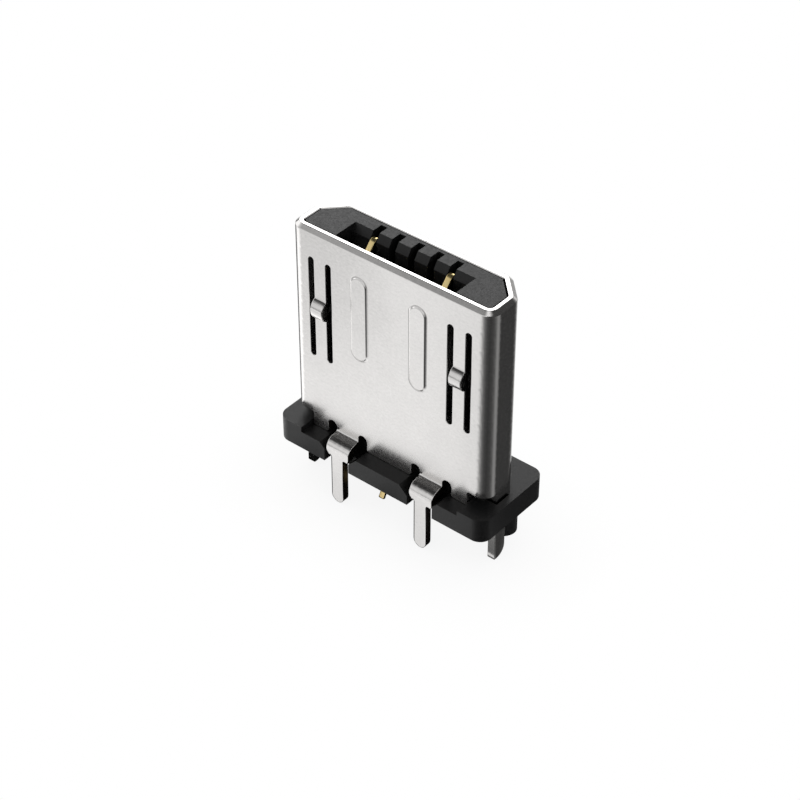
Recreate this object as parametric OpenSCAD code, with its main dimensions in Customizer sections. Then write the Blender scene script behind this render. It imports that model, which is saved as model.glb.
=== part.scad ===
// Micro-B plug that stands upright on a circuit board and is soldered through it.
// Millimetres. The origin is on the board's face under the middle of the shell,
// +Z points out of the mouth, and the two latches are on the front, towards -Y.

/* [Shell] */
// Outside width of the shell
shell_w = 6.85; // [6.6:0.05:7.8]
// Outside depth of the shell, front to back
shell_d = 1.8; // [1.7:0.05:2.3]
// Height of the shell's rim above the board
shell_top = 7.25; // [7:0.05:10]
// Thickness of the steel sheet
sheet = 0.25; // [0.2:0.01:0.28]
// Inside bend radius of the two front corners
front_bend = 0.13; // [0.08:0.01:0.2]
// Inside bend radius of the four bends of the slanted back corners
back_bend = 0.1; // [0.05:0.01:0.2]
// Outside length of a slanted back corner along each wall
back_slant = 0.72; // [0.6:0.02:0.9]
// Depth of the bevel on the rim's outside edge
rim_bevel_d = 0.12; // [0.02:0.01:0.16]
// Height of the bevel on the rim's outside edge
rim_bevel_h = 0.11; // [0.02:0.01:0.2]
// Gap of the butt seam in the back wall
seam_gap = 0.03; // [0.01:0.01:0.1]
// Height above the board of the middle of the seam's dovetail
lock_z = 4.2; // [3:0.1:5]
// Height of the dovetail at its root
lock_root = 0.7; // [0.4:0.05:1]
// Height of the dovetail at its head
lock_head = 1; // [0.7:0.05:1.4]
// Depth of the dovetail
lock_depth = 0.5; // [0.3:0.05:0.8]
// Height above the board at which the front corners are cut off
corner_trim = 1.05; // [0.95:0.05:1.4]
// Width of the cut at each front corner
corner_cut_w = 0.665; // [0.5:0.005:0.8]

/* [Latches] */
// Distance of each latch strip's middle from the shell's side
latch_inset = 1.035; // [0.95:0.005:1.2]
// Width of a latch strip
latch_w = 0.41; // [0.3:0.01:0.5]
// Width of the slots beside a latch strip
latch_slot_w = 0.19; // [0.1:0.01:0.22]
// Distance from the rim to the top of the slots
latch_drop = 0.87; // [0.6:0.01:1.2]
// Length of the slots
latch_len = 3.29; // [2.6:0.01:3.6]
// Distance from the rim to the crest of the hook
hook_drop = 2.455; // [2:0.005:2.9]
// Crest radius of the hook, and its height over the wall
hook_r = 0.205; // [0.12:0.005:0.22]
// Length of the hook's lead-in above its crest
hook_lead = 0.285; // [0.25:0.005:0.5]
// Length of the hook's run-out under its crest
hook_runout = 0.355; // [0.25:0.005:0.5]
// Radius of the hollow pressed in behind the hook
hook_hollow = 0.12; // [0.05:0.01:0.18]

/* [Ribs] */
// Distance of each pressed rib from the middle
rib_x = 1.01; // [0.7:0.01:1.3]
// Width of a rib at its root
rib_w = 0.57; // [0.4:0.01:0.8]
// Length of a rib
rib_len = 2.75; // [1.5:0.01:3.2]
// Distance from the rim to the top of a rib
rib_drop = 0.8; // [0.5:0.01:1.5]
// Height of a rib over the wall
rib_rise = 0.03; // [0.02:0.01:0.1]
// Width of a rib's sloping flank
rib_flank = 0.05; // [0.02:0.01:0.1]

/* [Legs] */
// Distance of each front leg from the middle
leg_x = 1.5; // [1.4:0.01:1.55]
// Width of a front leg at its bend
leg_w = 0.8; // [0.6:0.02:0.84]
// Width of a front leg's pin
pin_w = 0.44; // [0.3:0.01:0.6]
// Distance by which the front legs step out from the shell
leg_out = 0.47; // [0.4:0.01:0.6]
// Height above the board at which a front leg starts to bend out
leg_bend_z = 0.86; // [0.82:0.01:0.94]
// Fold angle of a front leg's two bends
leg_fold = 78; // [60:1:85]
// Inside radius of a front leg's two bends
leg_bend_r = 0.06; // [0.03:0.01:0.08]
// Height above the board of a front leg's shoulders
shoulder_z = 0.26; // [0.2:0.01:0.4]
// Fillet between a shoulder and its pin
shoulder_r = 0.12; // [0.05:0.01:0.15]
// Reach of the legs under the board's face
leg_reach = 1.37; // [0.8:0.01:3]
// Width of the relief cuts beside a front leg
relief_w = 0.3; // [0.2:0.01:0.32]
// Height above the board of the relief cuts' round tops
relief_top = 1.07; // [1.02:0.01:1.3]
// Radius of the foot's corners beside the relief cuts
relief_flare = 0.1; // [0.03:0.01:0.15]
// Distance of the side legs' middle in front of the shell's middle
side_leg_y = 0.235; // [0.15:0.005:0.26]
// Width of a side leg
side_leg_w = 0.45; // [0.3:0.01:0.5]
// Radius of the round at the back of a side leg's tip
side_tip_r = 0.34; // [0.1:0.01:0.4]

/* [Housing] */
// Reach of the base plate past the shell's sides
base_side = 0.275; // [0.2:0.005:1]
// Reach of the base plate past the shell's front and back
base_front = 0.5; // [0.48:0.01:1.2]
// Thickness of the base plate
base_h = 0.75; // [0.7:0.01:0.85]
// Radius of the base plate's upright corners
base_corner = 0.38; // [0.2:0.02:0.4]
// Height of the lower step in front of the shell
step_h = 0.59; // [0.5:0.01:0.65]
// Clearance at each end of the front wall's foot
foot_gap = 0.04; // [0.02:0.01:0.1]
// Clearance at each side of a front leg in its notch
notch_gap = 0.04; // [0.02:0.01:0.08]
// Bevel of a notch's edge on the side of the middle
notch_bevel_in = 0.28; // [0.1:0.01:0.32]
// Bevel of a notch's edge on the side of the end
notch_bevel_out = 0.17; // [0.05:0.01:0.2]
// Height above the board of the ledge behind a front leg
leg_ledge_h = 0.36; // [0.2:0.01:0.4]
// Clearance around a side leg in its slot
slot_gap = 0.05; // [0.02:0.01:0.08]
// Clearance between the housing and the shell's inside
shell_fit = 0.035; // [0.01:0.005:0.05]
// Distance of each locating peg from the base plate's end
peg_inset = 0.7; // [0.6:0.01:1]
// Distance of each locating peg behind the middle
peg_y = 0.55; // [0.5:0.01:0.9]
// Diameter of a locating peg
peg_dia = 0.7; // [0.5:0.05:0.8]
// Length of a locating peg under the base
peg_len = 1.19; // [0.4:0.01:1.4]
// Bevel at a locating peg's tip
peg_bevel = 0.12; // [0.05:0.01:0.2]
// Depth of the pocket behind a latch strip
latch_room = 0.3; // [0.2:0.01:0.4]
// Margin of that pocket around the slots
latch_margin = 0.06; // [0.02:0.01:0.06]

/* [Mouth] */
// Width of the mouth
mouth_w = 4.07; // [3.7:0.01:4.1]
// Depth of the mouth under the rim
mouth_depth = 4.2; // [3.6:0.05:4.6]
// Distance behind the shell's middle of the ledge that holds the contacts
ledge_y = 0.05; // [0:0.01:0.1]
// Depth of the ledge's lead-in bevel
lead_d = 0.15; // [0.1:0.01:0.2]
// Height of the ledge's lead-in bevel
lead_h = 0.22; // [0.1:0.01:0.6]
// Drop of the housing's top under the shell's rim
top_drop = 0.03; // [0:0.01:0.1]

/* [Contacts] */
// Distance from contact to contact
pitch = 0.65; // [0.6:0.01:0.68]
// Width of a contact
contact_w = 0.18; // [0.14:0.01:0.22]
// Thickness of a contact
contact_t = 0.11; // [0.08:0.01:0.15]
// Clearance around a contact in the housing
contact_fit = 0.02; // [0.01:0.005:0.03]
// Distance behind the shell's middle of a contact's stem
stem_y = 0.45; // [0.35:0.005:0.46]
// Distance from the rim to the tips of the two outer contacts
long_drop = 0.24; // [0.15:0.01:0.4]
// Distance from the rim to the tips of the three inner contacts
short_drop = 0.92; // [0.5:0.01:1.1]
// Distance in front of the shell's middle of a contact's crest
crest_y = 0.27; // [0.2:0.01:0.34]
// Height from a contact's crest to its tip
crest_rise = 0.37; // [0.3:0.01:0.5]
// Distance behind the shell's middle of a contact's tip
tip_y = 0.08; // [0.05:0.01:0.15]
// Length of the tip that lies back over its groove
tip_run = 0.1; // [0.08:0.01:0.15]
// Height above the mouth's floor at which a contact leaves its stem
stem_rise = 1.3; // [0.8:0.05:1.8]
// Inside radius of a contact's bends
contact_bend = 0.1; // [0.03:0.01:0.12]
// Width of a contact at its barbs
barb_w = 0.34; // [0.26:0.01:0.36]
// Height of the barbs
barb_h = 0.7; // [0.4:0.05:0.9]
// Height above the board of the barbs' lower end
barb_z = 1; // [0.8:0.05:1.2]
// Height above the board of the bend from stem to tail
tail_z = 0.36; // [0.3:0.01:0.45]
// Distance of the two forward tails in front of the shell's middle
front_row_y = 0.32; // [0.25:0.01:0.4]
// Reach of the tails under the board's face
tail_reach = 1.38; // [0.8:0.01:3]

/* [Hidden] */
$fn = 48;
contact_count = 5;
// Overlap that lets a cut run clear of the faces it opens
over = 0.5;
// Length by which joined pieces of a strip or rim cut lap over each other
core_lap = 0.02;
// Share of a rim cut's section that laps over its joints
core_share = 0.6;

// Planes of the shell's walls
front_out = -shell_d / 2;
front_in = front_out + sheet;
side_out = shell_w / 2;
side_in = side_out - sheet;
back_out = shell_d / 2;
back_in = back_out - sheet;

// Folds of the shell: outside radii, turns, and the straight runs between them
front_r = front_bend + sheet;
back_r = back_bend + sheet;
front_turn = 90;
slant_turn = 45;
slant_tangent = back_r * tan(slant_turn / 2);
back_run = side_out - back_slant - slant_tangent;
slant_run = back_slant * sqrt(2) - 2 * slant_tangent;
side_run = shell_d - back_slant - slant_tangent - front_r;
front_run = shell_w - 2 * front_r;
// Each step is a straight run, then a turn to the left about an outside radius
rim_steps = [
    [back_run, slant_turn, back_r],
    [slant_run, slant_turn, back_r],
    [side_run, front_turn, front_r],
    [front_run, front_turn, front_r],
    [side_run, slant_turn, back_r],
    [slant_run, slant_turn, back_r],
    [back_run, 0, 0]
];
// Section of the rim's bevel cut: depth from the outside face, height; it runs on past both faces
rim_section = [
    [-rim_bevel_d / 2, shell_top - rim_bevel_h * 3 / 2],
    [rim_bevel_d * 3 / 2, shell_top + rim_bevel_h / 2],
    [-rim_bevel_d / 2, shell_top + rim_bevel_h / 2]
];
// A smaller section within it, clear of the bevel's face
rim_core = [for (p = rim_section) rim_section[2] + core_share * (p - rim_section[2])];
front_foot_w = shell_w - 2 * corner_cut_w;
latch_x = side_out - latch_inset;

// Front legs: an S of two equal bends
leg_mid_r = leg_bend_r + sheet / 2;
leg_slope = (leg_out - 2 * leg_mid_r * (1 - cos(leg_fold))) / sin(leg_fold);
leg_drop = 2 * leg_mid_r * sin(leg_fold) + leg_slope * cos(leg_fold);
leg_back = front_out + sheet - leg_out;
leg_steps = [
    [sheet, -leg_fold, leg_bend_r],
    [leg_slope, leg_fold, leg_bend_r],
    [leg_bend_z - leg_drop + leg_reach, 0, 0]
];

// Side legs
side_leg_front = -side_leg_y - side_leg_w / 2;
side_leg_back = side_leg_front + side_leg_w;

// Housing
base_w = shell_w + 2 * base_side;
base_d = shell_d + 2 * base_front;
peg_x = base_w / 2 - peg_inset;
body_inset = sheet + shell_fit;
body_top = shell_top - top_drop;
body_front = front_out + body_inset;
mouth_floor = shell_top - mouth_depth;
groove_w = contact_w + 2 * contact_fit;
groove_back = stem_y + contact_t / 2 + contact_fit;
groove_front = stem_y - contact_t / 2 - contact_fit;
barb_slot_w = barb_w + 2 * contact_fit;

// Contacts
contact_xs = [for (i = [1 : contact_count]) (i - (contact_count + 1) / 2) * pitch];
function is_outer(i) = i == 1 || i == contact_count;
function is_forward(i) = i % 2 == 0;
function tip_z(i) = shell_top - (is_outer(i) ? long_drop : short_drop);
function tail_y(i) = is_forward(i) ? -front_row_y : stem_y;
// Corner points of contact i from its tail to its tip; the bends round them off
function contact_points(i) = concat(
    [[tail_y(i), -tail_reach]],
    is_forward(i) ? [[-front_row_y, tail_z], [stem_y, tail_z]] : [],
    [[stem_y, mouth_floor + stem_rise], [-crest_y, tip_z(i) - crest_rise]],
    [[tip_y, tip_z(i)], [tip_y + tip_run, tip_z(i)]]
);

// Strips given by corner points: headings, turns, and the length each bend takes from its runs
function heading(a, b) = atan2(b[1] - a[1], b[0] - a[0]);
function wrap(angle) = angle > 180 ? angle - 360 : angle < -180 ? angle + 360 : angle;
function turn_at(p, k) = wrap(heading(p[k], p[k + 1]) - heading(p[k - 1], p[k]));
function is_end(p, k) = k == 0 || k == len(p) - 1;
function bend_cut(p, k, r) = is_end(p, k) ? 0 : r * tan(abs(turn_at(p, k)) / 2);
function strip_steps(p, r, thickness) = [
    for (k = [0 : len(p) - 2])
        let (mid_r = r + thickness / 2)
        [
            norm(p[k + 1] - p[k]) - bend_cut(p, k, mid_r) - bend_cut(p, k + 1, mid_r),
            k == len(p) - 2 ? 0 : turn_at(p, k + 1),
            r
        ]
];

// Direction to the left of a line at its point k, long enough to keep a parallel line parallel
function mitre(p, k) =
    let (
        turn = is_end(p, k) ? 0 : turn_at(p, k),
        way = heading(p[max(k, 1) - 1], p[max(k, 1)]) + turn / 2 + 90
    )
    [cos(way), sin(way)] / cos(turn / 2);

// Sets a drawing upright with its x along Y and its y along Z, and makes it wide in X
module slab_x(width) {
    rotate([90, 0, 90])
        linear_extrude(width, center = true)
            children();
}

// Sets a drawing upright with its x along X and its y along Z, from y_from to y_to
module slab_y(y_from, y_to) {
    translate([0, y_to, 0])
        rotate([90, 0, 0])
            linear_extrude(y_to - y_from)
                children();
}

// The same shape at both ends of the part
module both_ends() {
    children();
    mirror([1, 0, 0])
        children();
}

// A slot's outline: round ends, upright, centred
module obround(width, length) {
    square([width, length - width], center = true);
    for (end = [-1, 1])
        translate([0, end * (length - width) / 2])
            circle(d = width);
}

// The piece of a square that a fillet of this radius leaves in its corner
module corner_web(r) {
    difference() {
        square(r);
        translate([r, r])
            circle(r);
    }
}

// A rectangle with round corners, centred
module round_rect(width, depth, r) {
    square([width - 2 * r, depth], center = true);
    square([width, depth - 2 * r], center = true);
    for (x = [-1, 1], y = [-1, 1])
        translate([x * (width / 2 - r), y * (depth / 2 - r)])
            circle(r);
}

// A strip seen from its edge: runs along +x, each run followed by a bend.
// A thinner core laps over the joints between runs and bends.
module bent_strip(steps, thickness, i = 0) {
    run = steps[i][0];
    turn = steps[i][1];
    side = sign(turn);
    mid_r = steps[i][2] + thickness / 2;
    core_from = i == 0 ? 0 : -core_lap;
    core_to = turn == 0 ? run : run + core_lap;
    translate([0, -thickness / 2])
        square([run, thickness]);
    translate([core_from, -thickness / 4])
        square([core_to - core_from, thickness / 2]);
    if (turn != 0)
        translate([run, side * mid_r]) {
            band(steps[i][2], steps[i][2] + thickness, -side * 90, turn);
            rotate(turn)
                translate([0, -side * mid_r])
                    bent_strip(steps, thickness, i + 1);
        }
}

// A piece of a ring between two radii, from an angle on through a turn
module band(r_in, r_out, from, turn) {
    reach = 2 * r_out;
    intersection() {
        difference() {
            circle(r_out);
            circle(r_in);
        }
        polygon([
            [0, 0],
            reach * [cos(from), sin(from)],
            reach * [cos(from + turn / 2), sin(from + turn / 2)],
            reach * [cos(from + turn), sin(from + turn)]
        ]);
    }
}

// The rim's bevel cut carried along the folds of the sheet, seen from above.
// A smaller core laps over the joints between runs and turns.
module rim_cut(steps, i = 0) {
    run = steps[i][0];
    turn = steps[i][1];
    r = steps[i][2];
    rotate([90, 0, 90])
        linear_extrude(run)
            polygon(rim_section);
    translate([-core_lap, 0, 0])
        rotate([90, 0, 90])
            linear_extrude(run + 2 * core_lap)
                polygon(rim_core);
    if (turn != 0)
        translate([run, r, 0]) {
            rotate([0, 0, -90])
                rotate_extrude(angle = turn)
                    polygon([for (p = rim_section) [r - p[0], p[1]]]);
            rotate([0, 0, turn])
                translate([0, -r, 0])
                    rim_cut(steps, i + 1);
        }
}

// Plan of the shell's outside, set in by a distance
module plan(inset) {
    half_w = side_out - inset;
    front = front_out + inset;
    back = back_out - inset;
    slant = back_slant - inset * (2 - sqrt(2));
    r_front = front_r - inset;
    r_back = back_r - inset;
    along = r_back * tan(slant_turn / 2);
    across = along * cos(slant_turn);
    right = [
        [half_w - r_front, front],
        [half_w, front + r_front],
        [half_w, back - slant - along],
        [half_w - across, back - slant + across],
        [half_w - slant + across, back - across],
        [half_w - slant - along, back]
    ];
    last = len(right) - 1;
    polygon(concat(right, [for (k = [0 : last]) [-right[last - k][0], right[last - k][1]]]));
    for (side = [-1, 1]) {
        translate([side * (half_w - r_front), front + r_front])
            circle(r_front);
        translate([side * (half_w - r_back), back - slant - along])
            circle(r_back);
        translate([side * (half_w - slant - along), back - r_back])
            circle(r_back);
    }
}

// The tube of the shell, open at the butt seam in the back
module shell_tube() {
    difference() {
        translate([0, 0, base_h])
            linear_extrude(shell_top - base_h)
                translate([0, back_out - sheet / 2])
                    rotate(180)
                        bent_strip([for (s = rim_steps) [s[0], s[1], s[2] - sheet]], sheet);
        translate([0, back_out, 0])
            rotate([0, 0, 180])
                rim_cut(rim_steps);
        slab_y(back_in - over, back_out + over)
            seam();
    }
}

// The seam's line with its dovetail, as wide as the gap
module seam() {
    points = [
        [0, 0],
        [0, lock_z - lock_root / 2],
        [lock_depth, lock_z - lock_head / 2],
        [lock_depth, lock_z + lock_head / 2],
        [0, lock_z + lock_root / 2],
        [0, shell_top + over]
    ];
    last = len(points) - 1;
    polygon(concat(
        [for (k = [0 : last]) points[k] + seam_gap / 2 * mitre(points, k)],
        [for (k = [0 : last]) points[last - k] - seam_gap / 2 * mitre(points, last - k)]
    ));
}

// A latch hook's section, with its crest's centre at the origin and its rise towards -x
module hook_section() {
    lead_angle = acos(hook_r / hook_lead);
    runout_angle = acos(hook_r / hook_runout);
    circle(hook_r);
    polygon([
        [0, hook_lead],
        hook_r * [-sin(lead_angle), cos(lead_angle)],
        [0, 0],
        hook_r * [-sin(runout_angle), -cos(runout_angle)],
        [0, -hook_runout]
    ]);
}

// Slots that free one latch strip
module latch_slots() {
    slot_x = (latch_w + latch_slot_w) / 2;
    slab_y(front_out - over, front_in + sheet)
        for (side = [-1, 1])
            translate([latch_x + side * slot_x, shell_top - latch_drop - latch_len / 2])
                obround(latch_slot_w, latch_len);
}

// A pressed rib: an obround with sloping flanks, rising along +z
module rib_form(width, length, rise) {
    top_w = width - 2 * rib_flank;
    rotate([90, 0, 0])
        linear_extrude(length - width, center = true)
            polygon([[-width / 2, 0], [width / 2, 0], [top_w / 2, rise], [-top_w / 2, rise]]);
    for (end = [-1, 1])
        translate([0, end * (length - width) / 2, 0])
            cylinder(h = rise, d1 = width, d2 = top_w);
}

// One rib's place on a plane of the front wall, rising outwards
module at_rib(y) {
    translate([rib_x, y, shell_top - rib_drop - rib_len / 2])
        rotate([90, 0, 0])
            children();
}

// Front outline of a leg: shoulders, pin and round tip
module leg_outline() {
    translate([-leg_w / 2, shoulder_z])
        square([leg_w, leg_bend_z + over - shoulder_z]);
    translate([-pin_w / 2, pin_w / 2 - leg_reach])
        square([pin_w, shoulder_z + leg_reach - pin_w / 2 + sheet]);
    translate([0, pin_w / 2 - leg_reach])
        circle(d = pin_w);
    for (side = [0, 1])
        mirror([side, 0])
            translate([pin_w / 2, shoulder_z])
                mirror([0, 1])
                    corner_web(shoulder_r);
}

// A front leg, bent out from the front wall and down again
module front_leg() {
    translate([leg_x, 0, 0])
        intersection() {
            slab_x(leg_w)
                translate([front_out + sheet / 2, leg_bend_z + sheet])
                    rotate(-90)
                        bent_strip(leg_steps, sheet);
            slab_y(front_out - leg_out - over, 0)
                leg_outline();
        }
}

// The opening in the front wall around a front leg, with its two relief cuts
module leg_opening() {
    outer_w = leg_w + 2 * relief_w;
    slab_y(front_out - over, front_in + sheet)
        translate([leg_x, 0]) {
            translate([-outer_w / 2, 0])
                square([outer_w, leg_bend_z]);
            for (side = [0, 1])
                mirror([side, 0]) {
                    translate([leg_w / 2, 0])
                        square([relief_w, relief_top - relief_w / 2]);
                    translate([(leg_w + relief_w) / 2, relief_top - relief_w / 2])
                        circle(d = relief_w);
                    translate([outer_w / 2, step_h])
                        corner_web(relief_flare);
                }
        }
}

// A side leg: the side wall goes straight on through the base
module side_leg() {
    translate([side_out - sheet / 2, 0, 0])
        slab_x(sheet) {
            translate([side_leg_front, side_tip_r - leg_reach])
                square([side_leg_w, corner_trim + leg_reach - side_tip_r]);
            translate([side_leg_front, -leg_reach])
                square([side_leg_w - side_tip_r, side_tip_r]);
            intersection() {
                translate([side_leg_back - side_tip_r, side_tip_r - leg_reach])
                    circle(side_tip_r);
                translate([side_leg_front, -leg_reach])
                    square([side_leg_w, side_tip_r]);
            }
        }
}

// One stamped and folded sheet: tube, latches, ribs and four legs
module shell() {
    color("silver")
        difference() {
            union() {
                difference() {
                    union() {
                        shell_tube();
                        front_foot();
                    }
                    both_ends() {
                        corner_cut();
                        latch_slots();
                        leg_opening();
                    }
                }
                both_ends() {
                    front_leg();
                    side_leg();
                    latch_hook();
                    at_rib(front_out)
                        rib_form(rib_w, rib_len, rib_rise);
                }
            }
            both_ends() {
                hook_hollow_cut();
                at_rib(front_in)
                    rib_form(rib_w - sheet, rib_len - sheet, rib_rise);
            }
        }
}

// The front wall reaches down to the step in the base
module front_foot() {
    translate([-front_foot_w / 2, front_out, step_h])
        cube([front_foot_w, sheet, corner_trim - step_h]);
}

// The front corners are cut off above the base
module corner_cut() {
    translate([front_foot_w / 2, front_out - over, -over])
        cube([shell_w, side_leg_front - front_out + over, corner_trim + over]);
}

// The hook on a latch strip
module latch_hook() {
    translate([latch_x, front_out, shell_top - hook_drop])
        slab_x(latch_w)
            hook_section();
}

// The hollow that pressing leaves behind the hook
module hook_hollow_cut() {
    translate([latch_x, front_in, shell_top - hook_drop])
        slab_x(latch_w + latch_slot_w)
            circle(hook_hollow);
}

// The step in front of the shell and the notch for one front leg, with a ledge behind the leg
module front_cuts() {
    slab_y(-base_d, body_front) {
        translate([-over, step_h])
            square([front_foot_w / 2 + foot_gap + over, over]);
        intersection() {
            leg_notch();
            translate([0, leg_ledge_h])
                square([base_w, base_h]);
        }
    }
    slab_y(-base_d, leg_back + notch_gap)
        leg_notch();
}

// Front outline of the notch for one front leg, with bevelled edges
module leg_notch() {
    half_w = leg_w / 2 + notch_gap;
    notch_in = leg_x - half_w;
    notch_out = leg_x + half_w;
    polygon([
        [notch_in, -over],
        [notch_in, step_h - notch_bevel_in],
        [notch_in - notch_bevel_in, step_h],
        [notch_in - notch_bevel_in, base_h + over],
        [notch_out + notch_bevel_out, base_h + over],
        [notch_out + notch_bevel_out, step_h],
        [notch_out, step_h - notch_bevel_out],
        [notch_out, -over]
    ]);
}

// The slot through the base for one side leg
module side_slot() {
    translate([side_in - slot_gap, side_leg_front - slot_gap, -over])
        cube([sheet + 2 * slot_gap, side_leg_w + 2 * slot_gap, base_h + 2 * over]);
}

// The pocket that lets one latch strip spring inwards
module latch_pocket() {
    pocket_w = latch_w + 2 * latch_slot_w + 2 * latch_margin;
    translate([latch_x, 0, shell_top - latch_drop - latch_len / 2])
        slab_y(body_front - over, body_front + latch_room)
            square([pocket_w, latch_len + 2 * latch_margin], center = true);
}

// The mouth, open to the shell's front wall, with a lead-in over the ledge
module mouth() {
    slab_x(mouth_w)
        polygon([
            [body_front - over, mouth_floor],
            [ledge_y, mouth_floor],
            [ledge_y, body_top - lead_h],
            [ledge_y + lead_d, body_top],
            [ledge_y + lead_d, body_top + over],
            [body_front - over, body_top + over]
        ]);
}

// The groove, stem channel and tail slot of contact i
module contact_way(i) {
    translate([contact_xs[i - 1], 0, 0]) {
        slab_x(groove_w) {
            translate([ledge_y - over, mouth_floor])
                square([groove_back - ledge_y + over, mouth_depth + over]);
            translate([groove_front, 0])
                square([groove_back - groove_front, mouth_floor + over]);
        }
        slab_x(barb_slot_w) {
            translate([groove_front, -over])
                square([groove_back - groove_front, barb_z + barb_h + over]);
            tail_slot(tail_y(i));
        }
    }
}

// Room for the bend between a stem and its tail
module tail_slot(y) {
    half_t = contact_t / 2 + contact_fit;
    slot_from = min(y, stem_y) - half_t;
    slot_to = max(y, stem_y) + half_t;
    translate([slot_from, -over])
        square([slot_to - slot_from, tail_z + contact_t / 2 + contact_bend + over]);
}

// One locating peg under the base
module peg() {
    translate([peg_x, peg_y, -peg_len]) {
        cylinder(h = peg_bevel, d1 = peg_dia - 2 * peg_bevel, d2 = peg_dia);
        translate([0, 0, peg_bevel])
            cylinder(h = peg_len - peg_bevel, d = peg_dia);
    }
}

// One moulding: base plate, pegs and the body that fills the shell
module housing() {
    color([0.16, 0.16, 0.17])
        difference() {
            union() {
                linear_extrude(base_h)
                    round_rect(base_w, base_d, base_corner);
                linear_extrude(body_top)
                    plan(body_inset);
                both_ends()
                    peg();
            }
            both_ends() {
                front_cuts();
                side_slot();
                latch_pocket();
            }
            mouth();
            for (i = [1 : contact_count])
                contact_way(i);
        }
}

// Side view of contact i: tail, stem, sprung beam and tip
module contact_section(i) {
    points = contact_points(i);
    translate(points[0])
        rotate(heading(points[0], points[1]))
            bent_strip(strip_steps(points, contact_bend, contact_t), contact_t);
}

// Contact i, with barbs that hold it in the housing
module contact(i) {
    color("goldenrod")
        translate([contact_xs[i - 1], 0, 0]) {
            slab_x(contact_w)
                contact_section(i);
            slab_x(barb_w)
                translate([stem_y - contact_t / 2, barb_z])
                    square([contact_t, barb_h]);
        }
}

shell();
housing();
contact(1);  // contact_1
contact(2);  // contact_2
contact(3);  // contact_3
contact(4);  // contact_4
contact(5);  // contact_5
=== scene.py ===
# %% [markdown]
# # A small upright connector plug, dressed for its portrait
#
# The plug is three things: a stamped and folded nickel-plated shell, a black
# moulding that carries it on the board, and five gold-plated spring contacts.
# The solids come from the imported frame, in metres, and everything below is laid
# over them in the same place. The lesson goes from the camera and the light to
# the finishes, and then from a flat sheet of metal to the folded shell.

# %% Load the frame
import math

import bpy
import numpy as np
from mathutils import Matrix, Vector
from mathutils.geometry import delaunay_2d_cdt


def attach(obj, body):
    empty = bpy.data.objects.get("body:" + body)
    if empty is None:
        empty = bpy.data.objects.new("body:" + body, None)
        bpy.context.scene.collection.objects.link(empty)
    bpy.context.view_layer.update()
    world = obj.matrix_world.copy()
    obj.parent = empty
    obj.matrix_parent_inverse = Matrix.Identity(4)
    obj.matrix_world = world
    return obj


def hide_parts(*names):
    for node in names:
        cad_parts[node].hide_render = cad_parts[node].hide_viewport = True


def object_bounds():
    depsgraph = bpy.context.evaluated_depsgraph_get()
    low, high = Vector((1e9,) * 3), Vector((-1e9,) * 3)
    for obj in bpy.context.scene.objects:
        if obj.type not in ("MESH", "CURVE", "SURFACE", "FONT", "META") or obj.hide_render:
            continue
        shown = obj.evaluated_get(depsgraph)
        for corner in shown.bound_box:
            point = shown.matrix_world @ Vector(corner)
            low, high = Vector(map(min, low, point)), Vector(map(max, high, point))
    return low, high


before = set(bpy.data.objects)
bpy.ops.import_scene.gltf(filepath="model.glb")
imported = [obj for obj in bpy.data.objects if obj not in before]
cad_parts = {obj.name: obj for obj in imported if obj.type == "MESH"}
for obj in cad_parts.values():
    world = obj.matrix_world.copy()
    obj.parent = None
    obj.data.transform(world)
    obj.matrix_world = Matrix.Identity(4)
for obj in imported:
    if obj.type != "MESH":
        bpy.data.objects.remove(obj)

MM = 0.001
scene = bpy.context.scene
cad_low, cad_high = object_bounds()
print("frame nodes:", sorted(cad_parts))
print("frame box in mm:", np.round(np.array((cad_low, cad_high)) / MM, 3).tolist())

# %% [markdown]
# ## Camera
#
# The portrait looks down on the mouth from the front right, through a long lens
# that keeps upright edges nearly parallel. It could be set by eye, but then no
# edge could be checked. Here the place was solved from the plug's own straight
# edges, so the picture needs no shift and every size below can be read from it.

# %% Camera
CAMERA_AT = np.array((30.211, -37.0, 40.34)) * MM
CAMERA_TO = np.array((-0.335, 0.0, 2.131)) * MM
FOCAL_PX, PICTURE_PX, SENSOR_MM = 2218.6, 800, 36.0


def looking(at, to):
    """A turn that points -Z from one place to another and keeps +Y of the view upright: its
    columns are the view's right, up and back, and the place."""
    back = (at - to) / np.linalg.norm(at - to)
    right = np.cross((0.0, 0.0, 1.0), back)
    right /= np.linalg.norm(right)
    turn = np.eye(4)
    turn[:3, :3] = np.column_stack((right, np.cross(back, right), back))
    turn[:3, 3] = at
    return Matrix(turn.tolist())


lens = bpy.data.cameras.new("portrait_lens")
lens.sensor_fit = "HORIZONTAL"
lens.sensor_width = SENSOR_MM
lens.lens = FOCAL_PX / PICTURE_PX * SENSOR_MM
lens.clip_start, lens.clip_end = 0.001, 2.0
camera = bpy.data.objects.new("portrait_camera", lens)
scene.collection.objects.link(camera)
camera.matrix_world = looking(CAMERA_AT, CAMERA_TO)
scene.camera = camera
print("camera lens in mm:", round(lens.lens, 2))

# %% [markdown]
# ## Floor
#
# A small shiny part is lit by what it mirrors, and most of what the front wall
# mirrors is the white table in front of it. A diffuse sheet under strong lamps
# would give that too, but it would burn out the pale metal. So the floor answers
# each ray by itself: white to the eye, with a faint shadow under the plug; a soft
# tone by distance in a reflection; and a plain white paint for scattered light.

# %% Helpers for nodes
def node_tree(owner):
    """Empties the node tree of a material or world and hands it back."""
    owner.use_nodes = True
    owner.node_tree.nodes.clear()
    return owner.node_tree


def add(tree, kind, at=(0, 0), **settings):
    """A node of this kind with its settings."""
    made = tree.nodes.new(kind)
    made.location = at
    for name, value in settings.items():
        setattr(made, name, value)
    return made


def link(tree, *pairs):
    """Joins each output to the input that it feeds."""
    for source, target in pairs:
        tree.links.new(source, target)


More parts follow.
